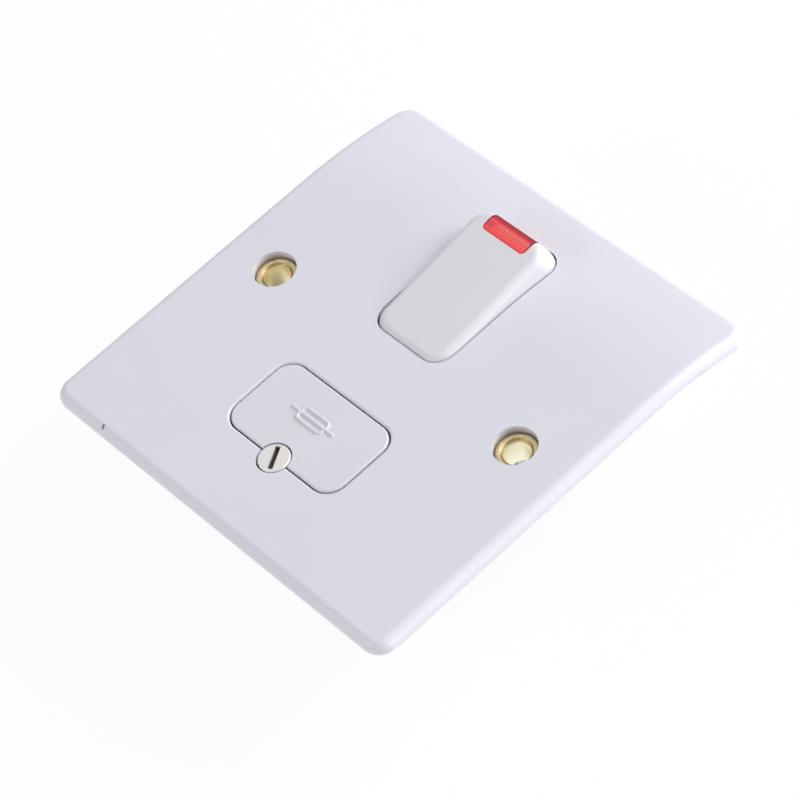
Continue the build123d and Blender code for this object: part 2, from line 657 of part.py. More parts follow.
carrier = panel + guide - post(0, SCREW_Y, HEAD_R + HEAD_ROOM, HEAD_SEAT, FACE_Z + PAST) + lug
grip_in = BARREL_R + GRIP_FIT
grip_x = CAP_INNER - GRIP_BACK
grip_low = FUSE_Z - BARREL_R - GRIP_LOW
web_low = FUSE_Z + grip_in
for way in SIDES:
    grip_y = CARRIER_Y + way * grip_in
    carrier = carrier + bar(-grip_x, grip_x, grip_y, grip_y + way * GRIP_T, grip_low, SKIN_Z)
    carrier = carrier + bar(-grip_x, grip_x, grip_y, grip_y - way * CATCH_IN, grip_low, grip_low + CATCH_H)
carrier = carrier + bar(
    -grip_x, grip_x, CARRIER_Y - grip_in, CARRIER_Y + grip_in, web_low, web_low + GRIP_T
)
carrier = carrier - post(0, SCREW_Y, SHANK_R + SHANK_ROOM, LUG_LOW - PAST, FACE_Z)
save("fuse_carrier", carrier)

# Cartridge fuse
barrel_end = FUSE_L / 2 - CAP_END
save("fuse_barrel", rod(-barrel_end, barrel_end, CARRIER_Y, FUSE_Z, BARREL_R))
cap = fillet(circles(rod(CAP_INNER, FUSE_L / 2, CARRIER_Y, FUSE_Z, FUSE_D / 2), Axis.X)[-1], CAP_EDGE)
cap = cap - rod(CAP_INNER - PAST, barrel_end, CARRIER_Y, FUSE_Z, BARREL_R)
save("fuse_caps", cap, mirror(cap, Plane.YZ))

# Captive carrier screw, and the brass insert that takes it
carrier_screw = slotted_screw(HEAD_R, HEAD_H, SHANK_R, CARRIER_SCREW_L, CARRIER_SLOT)
save("carrier_screw", Pos(0, SCREW_Y, FACE_Z) * Rot(0, 0, CARRIER_TURN) * carrier_screw)
insert = post(0, SCREW_Y, INSERT_R, SCREW_TIP - INSERT_TAIL, LUG_LOW - GAP)
save("screw_insert", insert - post(0, SCREW_Y, SHANK_R + INSERT_ROOM, SCREW_TIP - 2 * INSERT_TAIL, FACE_Z))

# Neon lamp on two cradles, with its resistor and leads
lamp = rod(LAMP_X0, LAMP_X1, LAMP_Y, LAMP_Z, LAMP_R)
save("neon_lamp", fillet(circles(lamp, Axis.X), LAMP_END))
resistor = rod(RES_X0, RES_X1, LAMP_Y, LAMP_Z, RES_R)
save("neon_resistor", fillet(circles(resistor, Axis.X), RES_END))


def lead(x0, x1):
    """A wire from a lamp or resistor end, turned down onto a contact arm."""
    run = rod(x0, x1, LAMP_Y, LAMP_Z, LEAD_R)
    knee = Pos(x1, LAMP_Y, LAMP_Z) * Sphere(LEAD_R)
    return run + knee + post(x1, LAMP_Y, LEAD_R, ARM_Z, LAMP_Z)


joint_lead = rod(LAMP_X1, RES_X0, LAMP_Y, LAMP_Z, LEAD_R)
save("lamp_leads", lead(LAMP_X0, LAMP_X0 - LEAD_L), joint_lead, lead(RES_X1, RES_X1 + LEAD_L / 2))

# Rear housing: a tub with a switch chamber and a fuse chamber, and a wall between them under the strap
housing = slab(
    2 * BODY_X, BODY_TOP - BODY_LOW, HOUSING_CORNER, BACK, SEAT_Z, (BODY_TOP + BODY_LOW) / 2
)
housing = chamfer(housing.faces().sort_by(Axis.Z)[0].edges(), HOUSING_EDGE)
for low, top in ((SWITCH_LOW, SWITCH_TOP), (FUSE_LOW, FUSE_TOP)):
    housing = housing - bar(-CHAMBER_X, CHAMBER_X, low, top, FLOOR, SEAT_Z + PAST)
housing = housing + bar(-CHAMBER_X, CHAMBER_X, strap_y0, strap_y1, SEAT_Z - ROOT, STRAP_LOW)

# A bay for each terminal: filled from the front, open at the side for the cable and behind for the screw
pocket_half = TERM_W / 2 + ROOM
leg_room = STRIP + ROOM
for side, y in TERMINALS:
    pocket_low = y - pocket_half
    pocket_top = y + pocket_half
    if side > 0 and y == MIDDLE_Y:
        pocket_low = pocket_low - leg_room
    if side > 0 and y == LOAD_Y:
        pocket_top = pocket_top + leg_room
    pocket_end = side * (BLOCK_END + ROOM)
    housing = housing - bar(side * TERM_X, pocket_end, pocket_low, pocket_top, TERM_LOW, SEAT_Z + PAST)
    bay_end = side * (BODY_X + PAST)
    housing = housing - rod(side * BLOCK_END, bay_end, y, CABLE_Z, BAY_HALF)
    housing = housing - bar(side * BLOCK_END, bay_end, y - BAY_HALF, y + BAY_HALF, BACK - PAST, CABLE_Z)
    housing = housing - bar(side * SCREW_X, bay_end, y - BAY_HALF, y + BAY_HALF, BACK - PAST, TERM_LOW)
    housing = housing - post(side * SCREW_X, y, BAY_HALF, BACK - PAST, TERM_LOW)

# Ribbed cells between the terminals, open at the side and behind, under a flange
tower_half = pocket_half + leg_room + CELL_WALL
cell_x0 = TERM_X + ROOM
cell_x1 = BODY_X + PAST
for low_y, top_y in ((LOAD_Y, MIDDLE_Y), (MIDDLE_Y, SUPPLY_Y)):
    span = top_y - low_y - 2 * tower_half
    count = max(1, round(span / CELL))
    pitch = (span + CELL_RIB) / count
    cell = bar(cell_x0, cell_x1, 0, pitch - CELL_RIB, BACK - PAST, SEAT_Z - FLANGE_T)
    cell = fillet(cell.edges().filter_by(Axis.Z).group_by(Axis.X)[0], CELL_CORNER)
    for number in range(count):
        place = Pos(0, low_y + tower_half + number * pitch, 0)
        housing = housing - place * cell - place * mirror(cell, Plane.YZ)

# Slots for the strips that cross a wall
wall_in = CHAMBER_X - PAST
wall_out = TERM_X + ROOM
slot_low = SUPPLY_Y - TAB_HALF - ARM_EXTRA - ROOM
slot_top = SUPPLY_Y + TAB_HALF + ROOM
for side in SIDES:
    housing = housing - bar(
        side * wall_in, side * wall_out, slot_low, slot_top, ARM_Z - STRIP, SEAT_Z + PAST
    )
for y in (MIDDLE_Y, LOAD_Y):
    housing = housing - bar(
        -wall_out, -wall_in, y - BUS_TAB - ROOM, y + BUS_TAB + ROOM, FLOOR, SEAT_Z + PAST
    )
housing = housing - bar(
    bus_x0 - ROOM, clip_x1 + ROOM, FUSE_TOP - PAST, SWITCH_LOW + PAST, FLOOR, BUS_TOP + SLOT_ROOM
)

# Trunnion props, pole divider, off stops under the bridges' tails and lamp cradles
tail = math.radians(BRIDGE_TILT)
stop_top = FULCRUM_Z - (BRIDGE_ARM + BRIDGE_TAIL) * math.sin(tail) + BRIDGE_LOW * math.cos(tail) - STOP_ROOM
stop_y = PIVOT_Y - BRIDGE_ARM - BRIDGE_TAIL + STOP_HALF
root_z = FLOOR - ROOT
for side in SIDES:
    prop_x0 = side * (CHEEK_X + GAP)
    prop_x1 = side * (CHAMBER_X + ROOT)
    prop_top = PIVOT_Z - TRUNNION_R - FIT
    housing = housing + bar(
        prop_x0, prop_x1, PIVOT_Y - PROP_HALF, PIVOT_Y + PROP_HALF, root_z, prop_top
    )
    housing = housing + bar(
        0, side * (POLE_X + BRIDGE_W / 2), stop_y - STOP_HALF, stop_y + STOP_HALF, stop_top - STOP_H, stop_top
    )
    cradle = bar(
        side * (CRADLE_X - CRADLE_HALF),
        side * (CRADLE_X + CRADLE_HALF),
        LAMP_Y - CRADLE_BACK,
        SWITCH_TOP + ROOT,
        root_z,
        LAMP_Z,
    )
    housing = housing + (cradle - rod(-CHAMBER_X, CHAMBER_X, LAMP_Y, LAMP_Z, LAMP_R + FIT))
housing = housing + bar(
    -DIVIDER_HALF, DIVIDER_HALF, SWITCH_LOW - ROOT, PIVOT_Y + DIVIDER_END, root_z, FULCRUM_Z + DIVIDER_RISE
)

# Boss for the screw insert, and ways for the housing screws
boss_top = SEAT_Z - ROOM
housing = housing + post(0, SCREW_Y, BOSS_R, root_z, boss_top)
housing = housing + bar(-BOSS_R, BOSS_R, FUSE_LOW - ROOT, SCREW_Y, root_z, boss_top)
housing = housing - post(0, SCREW_Y, INSERT_R, SCREW_TIP - INSERT_TAIL, SEAT_Z + PAST)
head_seat = BACK + HOUSING_SEAT
for x, y in HOUSING_SCREWS:
    housing = housing - post(x, y, HOUSING_SHANK_R + HEAD_ROOM, BACK - PAST, SEAT_Z + PAST)
    housing = housing - post(x, y, HOUSING_HEAD_R + HEAD_ROOM, BACK - PAST, head_seat)
save("rear_housing", housing)

housing_face = head_seat - HOUSING_HEAD_H
housing_screw_l = FACE_Z - HOUSING_END - housing_face
housing_screw = slotted_screw(
    HOUSING_HEAD_R, HOUSING_HEAD_H, HOUSING_SHANK_R, housing_screw_l, CROSS_L, slots=2
)
housing_screws = [
    Pos(x, y, housing_face) * Rot(180, 0, SCREW_TURN * number) * housing_screw
    for number, (x, y) in enumerate(HOUSING_SCREWS)
]
save("housing_screws", *housing_screws)
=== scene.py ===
"""Looks of the switched fused spur unit: finishes, raised symbol, threaded screws and stage, as an add-on."""

import math

import bmesh
import bpy
import numpy as np
from bpy.props import FloatProperty, FloatVectorProperty, PointerProperty
from mathutils import Matrix, Vector


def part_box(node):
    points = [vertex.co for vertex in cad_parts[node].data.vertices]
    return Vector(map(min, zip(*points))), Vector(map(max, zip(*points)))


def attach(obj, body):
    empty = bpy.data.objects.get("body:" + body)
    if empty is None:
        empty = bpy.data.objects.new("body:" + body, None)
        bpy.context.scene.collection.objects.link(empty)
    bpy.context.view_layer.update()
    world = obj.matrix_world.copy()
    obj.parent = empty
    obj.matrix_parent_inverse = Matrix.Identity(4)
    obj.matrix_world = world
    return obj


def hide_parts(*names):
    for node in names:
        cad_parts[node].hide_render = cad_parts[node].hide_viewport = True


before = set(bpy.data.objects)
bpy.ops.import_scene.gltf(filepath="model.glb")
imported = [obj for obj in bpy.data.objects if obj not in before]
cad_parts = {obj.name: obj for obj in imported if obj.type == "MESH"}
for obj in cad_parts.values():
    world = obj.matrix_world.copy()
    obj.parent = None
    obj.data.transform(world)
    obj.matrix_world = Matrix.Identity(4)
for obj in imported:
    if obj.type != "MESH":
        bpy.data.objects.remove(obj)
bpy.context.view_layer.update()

bl_info = {
    "name": "Fused spur unit looks",
    "version": (1, 0, 0),
    "blender": (4, 5, 0),
    "location": "View3D > Sidebar > Spur unit",
    "description": "Finishes, small forms and stage for a switched fused spur unit",
    "category": "Object",
}

MM = 0.001  # in metres
MERGE = 1e-9  # points nearer than this, in metres, become one
TINY = 1e-4  # keeps divisors off zero and close angles apart
EVEN = (1.0, 1.0, 1.0)  # stretch of a texture that is drawn out along no axis
UNMOVED = (0.0, 0.0, 0.0)
WHITE = (1.0, 1.0, 1.0)

# Lengths in mm that the frame's boxes don't give
HOUSING_HEAD = 2.45  # radius of a housing screw's head
LENS_CORNER = 0.9  # radius of the lens's two low corners
LENS_CREST = 2.35  # from the lens's low edge to its crest

ROCKER_LEAN = 8.0  # slope of the rocker's top as it lies, in degrees


def span(node):
    """The lowest and highest corner of a node's box, in mm."""
    low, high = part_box(node)
    return low / MM, high / MM


def middle(node):
    """The middle of a node's box, in mm."""
    low, high = span(node)
    return (low + high) / 2


# Places taken from the frame, in mm
FACE = span("fuse_carrier")[1].z
FLOOR = span("rear_housing")[0].z
FIX_X = span("fixing_eyelets")[1].x - span("fixing_eyelets")[1].y
SCREW_Y = middle("carrier_screw").y
TERMINAL_X = middle("line_supply_terminal").x
TERMINAL_YS = [
    middle(name).y for name in ("line_supply_terminal", "neutral_load_terminal", "line_load_terminal")
]
HOUSING_YS = [span("housing_screws")[1].y - HOUSING_HEAD, span("housing_screws")[0].y + HOUSING_HEAD]
LENS_LOW, LENS_HIGH = span("neon_lens")


class Value:
    """A number that varies over a surface. Arithmetic on it adds Math nodes."""

    def __init__(self, finish, socket):
        self.finish = finish
        self.socket = socket

    def __add__(self, other):
        return self.finish.math("ADD", self, other)

    def __radd__(self, other):
        return self.finish.math("ADD", other, self)

    def __sub__(self, other):
        return self.finish.math("SUBTRACT", self, other)

    def __rsub__(self, other):
        return self.finish.math("SUBTRACT", other, self)

    def __mul__(self, other):
        return self.finish.math("MULTIPLY", self, other)

    def __rmul__(self, other):
        return self.finish.math("MULTIPLY", other, self)

    def __abs__(self):
        return self.finish.math("ABSOLUTE", self)

    def sin(self):
        """The sine of an angle."""
        return self.finish.math("SINE", self)

    def high(self, other):
        """The greater of two numbers."""
        return self.finish.math("MAXIMUM", self, other)

    def angle(self, across):
        """The angle of the point (across, self) around the middle."""
        return self.finish.math("ARCTAN2", self, across)

    def length(self, other):
        """The distance of the point (self, other) from the middle."""
        return self.finish.math("SQRT", self * self + other * other)

    def step(self, start, end):
        """A smooth rise from 0 at start to 1 at end."""
        sockets = {"Value": self, "From Min": start, "From Max": end}
        return self.finish.node("ShaderNodeMapRange", {"interpolation_type": "SMOOTHSTEP"}, sockets)


class Finish:
    """The nodes of one material or world. Textures are laid out in mm on Object coordinates."""

    def __init__(self, tree, shift=UNMOVED):
        self.tree = tree
        self.shift = shift
        self.tree.nodes.clear()

    @classmethod
    def material(cls, name, shift=UNMOVED):
        """A new material's nodes, with its textures shifted so that neighbours differ."""
        material = bpy.data.materials.new(name)
        material.use_nodes = True
        finish = cls(material.node_tree, shift)
        finish.made = material
        object_place = finish.node("ShaderNodeTexCoord", output="Object")
        sockets = {"Vector": object_place, "Scale": 1 / MM}
        finish.place = finish.node("ShaderNodeVectorMath", {"operation": "SCALE"}, sockets)
        return finish

    def node(self, kind, settings=None, sockets=None, output=0):
        """Adds a node, applies its settings, fills or links its sockets and returns one output."""
        node = self.tree.nodes.new(kind)
        for key, value in (settings or {}).items():
            setattr(node, key, value)
        for key, value in (sockets or {}).items():
            if isinstance(value, Value):
                self.tree.links.new(value.socket, node.inputs[key])
            else:
                node.inputs[key].default_value = value
        return Value(self, node.outputs[output]) if node.outputs else None

    def math(self, operation, *terms):
        """One Math node."""
        return self.node("ShaderNodeMath", {"operation": operation}, dict(enumerate(terms)))

    def xyz(self):
        """The place on the object as three numbers in mm."""
        parts = self.node("ShaderNodeSeparateXYZ", None, {0: self.place}).socket.node
        return [Value(self, socket) for socket in parts.outputs]

    def own(self, name):
        """A number stored on the piece's own points."""
        return self.node("ShaderNodeAttribute", {"attribute_name": name}, output="Fac")

    def scaled(self, scale):
        """The place on the object, shifted and scaled for a texture."""
        sockets = {"Vector": self.place, "Location": self.shift, "Scale": scale}
        return self.node("ShaderNodeMapping", None, sockets)

    def noise(self, size, detail=2.0, stretch=EVEN):
        """Cloudy noise about 0.5 with blobs of a size in mm, drawn out along an axis by its stretch."""
        moved = self.scaled(tuple(1 / (size * s) for s in stretch))
        return self.node("ShaderNodeTexNoise", None, {"Vector": moved, "Scale": 1.0, "Detail": detail})

    def cells(self, size):
        """Distance in mm from the nearest of scattered points, one to each cell of a size in mm."""
        moved = self.scaled((1 / size,) * 3)
        return self.node("ShaderNodeTexVoronoi", None, {"Vector": moved, "Scale": 1.0}) * size

    def blend(self, factor, first, second):
        """A colour between two, by a factor from 0 to 1."""
        sockets = {0: factor, 6: first, 7: second}
        return self.node("ShaderNodeMix", {"data_type": "RGBA"}, sockets, output=2)

    def bump(self, height, depth):
        """A normal bent by a height from 0 to 1 that stands for a depth in mm."""
        return self.node("ShaderNodeBump", None, {"Strength": 1.0, "Distance": depth * MM, "Height": height})

    def surface(self, **sockets):
        """Ends the material in one shader, its sockets named with underscores for spaces."""
        named = {key.replace("_", " "): value for key, value in sockets.items()}
        shader = self.node("ShaderNodeBsdfPrincipled", None, named)
        self.node("ShaderNodeOutputMaterial", None, {"Surface": shader})
        return self.made


def rgba(colour, share=1.0):
    """A colour with its alpha, brightened or darkened by a share."""
    return tuple(min(1.0, c * share) for c in colour) + (1.0,)


def dress(material, *names):
    """Gives CAD nodes a material."""
    for name in names:
        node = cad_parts[name]
        node.data.materials.clear()
        node.data.materials.append(material)


def shell(name, grids, material, body, slot, sharp=35.0, **marks):
    """A piece from closed grids of points in mm: each grid is rows x columns, and its columns run round.

    Neighbouring points make the faces, the last column joins the first, and rows that shrink to a point
    or a line close the ends. Marks are numbers of the same layout that the piece's material reads.
    """
    grids = np.asarray(grids, float)
    count, rows, columns = grids.shape[:3]
    index = np.arange(count * rows * columns).reshape(count, rows, columns)
    after = np.roll(index, -1, axis=2)
    faces = np.stack([index[:, :-1], after[:, :-1], after[:, 1:], index[:, 1:]], axis=-1)
    mesh = bpy.data.meshes.new(name)
    mesh.from_pydata((grids * MM).reshape(-1, 3).tolist(), [], faces.reshape(-1, 4).tolist())
    for mark, values in marks.items():
        layer = mesh.attributes.new(mark, "FLOAT", "POINT")
        layer.data.foreach_set("value", np.broadcast_to(values, grids.shape[:3]).astype(np.float32).ravel())
    work = bmesh.new()
    work.from_mesh(mesh)
    bmesh.ops.remove_doubles(work, verts=work.verts, dist=MERGE)
    bmesh.ops.dissolve_degenerate(work, edges=work.edges, dist=MERGE)
    bmesh.ops.recalc_face_normals(work, faces=work.faces)
    work.to_mesh(mesh)
    work.free()
    mesh.shade_smooth()
    mesh.set_sharp_from_angle(angle=math.radians(sharp))
    mesh.materials.append(material)
    piece = bpy.data.objects.new(name, mesh)
    bpy.context.scene.collection.objects.link(piece)
    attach(piece, body)
    return piece


# Mouldings

NICK_PLACE = (-28.48, -40.96)  # small dark mark on the plate's lower rim, in mm
NICK_WAY = (0.945, 0.33)  # unit direction across that mark
NICK_GREY = (0.045, 0.043, 0.043)
FIX_BORE = (4.0, 4.3)  # radii in mm between which the painted shade and brass reflection on a fixing hole's wall end
BORE_SHADE_AND_REFLECTION_BROWN = (0.46, 0.38, 0.31)
# painted glow of the red lens on the rocker's top
PAINTED_LENS_GLOW = (0.90, 0.62, 0.60)
HOUSING_ROUGHNESS = 0.55
PIN_MIDDLE = 2.0  # the housing's two ejector marks lie evenly about this y, in mm
PIN_REACH = 22.0  # from there to a mark's middle
PIN_RADIUS = 2.0


class MouldingSettings(bpy.types.PropertyGroup):
    plate_colour: FloatVectorProperty(
        name="Plate colour", description="Cool white of the front plate",
        default=(0.678, 0.685, 0.755), size=3, min=0.0, max=1.0, subtype="COLOR",
    )
    rocker_colour: FloatVectorProperty(
        name="Rocker colour", description="White of the rocker",
        default=(0.702, 0.697, 0.75), size=3, min=0.0, max=1.0, subtype="COLOR",
    )
    carrier_colour: FloatVectorProperty(
        name="Carrier colour", description="White of the fuse carrier",
        default=(0.675, 0.68, 0.735), size=3, min=0.0, max=1.0, subtype="COLOR",
    )
    housing_colour: FloatVectorProperty(
        name="Housing colour", description="Matt white of the rear housing",
        default=(0.66, 0.66, 0.64), size=3, min=0.0, max=1.0, subtype="COLOR",
    )
    roughness: FloatProperty(
        name="Roughness", description="Mean roughness of the satin mouldings",
        default=0.36, min=0.0, max=1.0, subtype="FACTOR",
    )


def moulding(name, colour, roughness, shift):
    """Moulded plastic: clouded tone, sparse specks and uneven gloss.

    Returns the finish, its tone and its gloss.
    """
    finish = Finish.material(name, shift)
    cloud = finish.noise(16.0, detail=3.0).step(0.3, 0.7)
    grain = finish.noise(0.45)
    tone = finish.blend(0.75 * cloud + 0.25 * grain, rgba(colour, 0.982), rgba(colour, 1.012))
    speck = 1 - finish.cells(5.5).step(0.05, 0.11)
    tone = finish.blend(0.16 * speck, tone, rgba(colour, 0.45))
    smear = finish.noise(7.0, detail=3.0, stretch=(1.0, 2.6, 1.0))
    gloss = roughness + 0.16 * (smear - 0.5) + 0.06 * (grain - 0.5)
    return finish, tone, gloss


def satin(finish, tone, gloss):
    """Ends a moulding's material with the soft skin of a polished mould."""
    skin = 0.75 * finish.noise(1.1, detail=1.0) + 0.25 * finish.noise(0.18, detail=1.0)
    return finish.surface(Base_Color=tone, Roughness=gloss, Normal=finish.bump(skin, depth=0.006))


def lens_reach(x, y):
    """Distance out from the lens's edge, in mm: below zero on the lens, and its two low corners are round."""
    past_x = (abs(x) - (LENS_HIGH.x - LENS_CORNER)).high(0.0)
    past_y = (LENS_LOW.y + LENS_CORNER - y).high(0.0)
    return past_x.length(past_y) - LENS_CORNER


class SPUR_OT_white_mouldings(bpy.types.Operator):
    """Finish the front plate, the rocker and the fuse carrier"""

    bl_idname = "spur.white_mouldings"
    bl_label = "White mouldings"

    def execute(self, context):
        look = context.scene.spur_moulding
        finish, tone, gloss = moulding("plate_white", look.plate_colour, look.roughness, (3.0, 0.0, 0.0))
        x, y, z = finish.xyz()
        nick_x, nick_y = x - NICK_PLACE[0], y - NICK_PLACE[1]
        across = NICK_WAY[0] * nick_x + NICK_WAY[1] * nick_y
        along = NICK_WAY[1] * nick_x - NICK_WAY[0] * nick_y
        nick = (1 - abs(across).step(0.12, 0.28)) * (1 - abs(along).step(0.3, 0.6)) * z.step(5.0, 6.0)
        tone = finish.blend(0.9 * nick, tone, rgba(NICK_GREY))
        # painted shade and painted brass reflection: the walls of the fixing holes are darkened and browned
        bore = (1 - (abs(x) - FIX_X).length(y).step(*FIX_BORE)) * (1 - z.step(FACE - 1.5, FACE - 0.2))
        tone = finish.blend(0.65 * bore, tone, rgba(BORE_SHADE_AND_REFLECTION_BROWN))
        dress(satin(finish, tone, gloss), "front_plate")

        finish, tone, gloss = moulding("rocker_white", look.rocker_colour, look.roughness, (0.0, 51.0, 7.0))
        x, y, z = finish.xyz()
        # painted glow: red light from the lens tints the rocker's top round it
        painted_glow = (1 - lens_reach(x, y).step(0.05, 0.5)) * z.step(9.0, 10.0)
        tone = finish.blend(0.65 * painted_glow, tone, rgba(PAINTED_LENS_GLOW))
        dress(satin(finish, tone, gloss), "rocker")

        finish, tone, gloss = moulding("carrier_white", look.carrier_colour, look.roughness, (40.0, 7.0, 0.0))
        dress(satin(finish, tone, gloss), "fuse_carrier")
        return {"FINISHED"}


class SPUR_OT_rear_housing(bpy.types.Operator):
    """Finish the rear housing and the plungers as matt mouldings"""

    bl_idname = "spur.rear_housing"
    bl_label = "Rear housing"

    def execute(self, context):
        colour = context.scene.spur_moulding.housing_colour
        finish, tone, gloss = moulding("housing_white", colour, HOUSING_ROUGHNESS, (9.0, 2.0, 30.0))
        x, y = finish.xyz()[:2]
        ring = abs(x.length(abs(y - PIN_MIDDLE) - PIN_REACH) - PIN_RADIUS)
        pin_mark = 1 - ring.step(0.05, 0.22)
        spark = 0.6 * finish.noise(0.22) + 0.4 * finish.noise(0.7, detail=1.0) - 0.5 * pin_mark
        tone = finish.blend(0.25 * pin_mark, tone, rgba(colour, 0.7))
        material = finish.surface(Base_Color=tone, Roughness=gloss, Normal=finish.bump(spark, depth=0.02))
        dress(material, "rear_housing", "plungers")
        return {"FINISHED"}


# Fuse symbol, in mm

SYMBOL_PLACE = (-0.4, -17.6)
SYMBOL_CORNER = 0.7  # radius along the middle of the body's line
FOOT = 0.1  # how far a raised line reaches down into the carrier


class SymbolSettings(bpy.types.PropertyGroup):
    width: FloatProperty(
        name="Width", description="Fuse symbol across, with its two leads",
        default=0.0105, min=0.004, max=0.02, unit="LENGTH",
    )
    box_width: FloatProperty(
        name="Body width", description="Fuse body across",
        default=0.0066, min=0.002, max=0.018, unit="LENGTH",
    )
    height: FloatProperty(
        name="Height", description="Fuse body along the carrier",
        default=0.0032, min=0.001, max=0.01, unit="LENGTH",
    )
    stroke: FloatProperty(
        name="Stroke", description="Width of the raised line",
        default=0.00062, min=0.0002, max=0.002, unit="LENGTH",
    )
    rise: FloatProperty(
        name="Rise", description="Height of the raised line above the carrier",
        default=0.0003, min=0.00005, max=0.001, unit="LENGTH",
    )


def stroke_profile(half, rise, steps=10):
    """Offsets across a raised line and heights over the face: a half ellipse on a short sunk foot."""
    turn = np.linspace(0.0, math.pi, steps)
    across = np.r_[-half, half * -np.cos(turn), half]
    height = np.r_[-FOOT, rise * np.sin(turn), -FOOT]
    return across, height


def ring_line(place, width, height, corner, half, rise, steps=8):
    """A raised line round a rounded rectangle: the stroke's profile carried along four corner arcs."""
    across, level = stroke_profile(half, rise)
    turn = np.linspace(0.0, math.pi / 2, steps) + np.arange(4)[:, None] * math.pi / 2
    side_x = np.array([1, -1, -1, 1])[:, None] * (width / 2 - corner)
    side_y = np.array([1, 1, -1, -1])[:, None] * (height / 2 - corner)
    reach = corner + across[:, None, None]
    x = place[0] + side_x + reach * np.cos(turn)
    y = place[1] + side_y + reach * np.sin(turn)
    z = np.broadcast_to(FACE + level[:, None, None], x.shape)
    grid = np.stack([x, y, z], axis=-1).reshape(len(across), -1, 3)
    return np.concatenate([grid, grid[:1]])


def short_line(place, length, half, rise, columns=32, steps=12):
    """A raised line with round ends: an outline of two half circles shrinks to its own middle as it rises."""
    turn = (np.arange(columns) + 0.5) * 2 * math.pi / columns
    lift = np.linspace(0.0, math.pi / 2, steps)
    share = np.r_[0.0, 1.0, np.cos(lift)]
    level = np.r_[-FOOT, -FOOT, rise * np.sin(lift)]
    x = place[0] + np.sign(np.cos(turn)) * (length / 2 - half) + half * share[:, None] * np.cos(turn)
    y = place[1] + half * share[:, None] * np.sin(turn)
    z = np.broadcast_to(FACE + level[:, None], x.shape)
    return np.stack([x, y, z], axis=-1)


class SPUR_OT_fuse_symbol(bpy.types.Operator):
    """Raise a plain fuse symbol on the carrier's face: a body with a line through it"""

    bl_idname = "spur.fuse_symbol"
    bl_label = "Fuse symbol"

    def execute(self, context):
        size = context.scene.spur_symbol
        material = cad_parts["fuse_carrier"].data.materials[0]
        width, body, height = size.width / MM, size.box_width / MM, size.height / MM
        half, rise = size.stroke / MM / 2, size.rise / MM
        if width <= body or body <= 4 * half:
            raise ValueError("the symbol's leads or its body have no length left")
        ring = ring_line(SYMBOL_PLACE, body - 2 * half, height - 2 * half, SYMBOL_CORNER, half, rise)
        shell("fuse_symbol_body", [ring], material, "carrier", "white_moulding")
        lead = (width - body) / 2 + half
        reach = (width - lead) / 2
        x, y = SYMBOL_PLACE
        lines = [
            short_line((x, y), body - 3 * half, half, rise),
            short_line((x - reach, y), lead, half, rise),
            short_line((x + reach, y), lead, half, rise),
        ]
        shell("fuse_symbol_line", lines, material, "carrier", "white_moulding")
        return {"FINISHED"}


# Lens

PRISM_GLINT = (1.0, 0.27, 0.20)
PRISM_SHADE = (0.42, 0.05, 0.05)
HIGHLIGHT_FROM_LOW = 2.0  # the painted highlight line, in mm from the lens's low edge
HIGHLIGHT_LINE_RED = (1.0, 0.34, 0.28)
SMUDGE_PLACE = (-4.0, 1.5)  # x, and distance from the lens's low edge, in mm
SMUDGE_RED = (0.42, 0.03, 0.10)
STRIP_SHADE_RED = (0.42, 0.02, 0.045)
CREST_SHADE_RED = (0.14, 0.008, 0.018)
EDGE_RED = (0.12, 0.008, 0.018)


class LensSettings(bpy.types.PropertyGroup):
    colour: FloatVectorProperty(
        name="Colour", description="Red of the neon lens",
        default=(1.0, 0.08, 0.09), size=3, min=0.0, max=1.0, subtype="COLOR",
    )
    prism: FloatProperty(
        name="Prism pitch", description="Pitch of the small prisms under the lens",
        default=0.00045, min=0.0001, max=0.002, unit="LENGTH",
    )


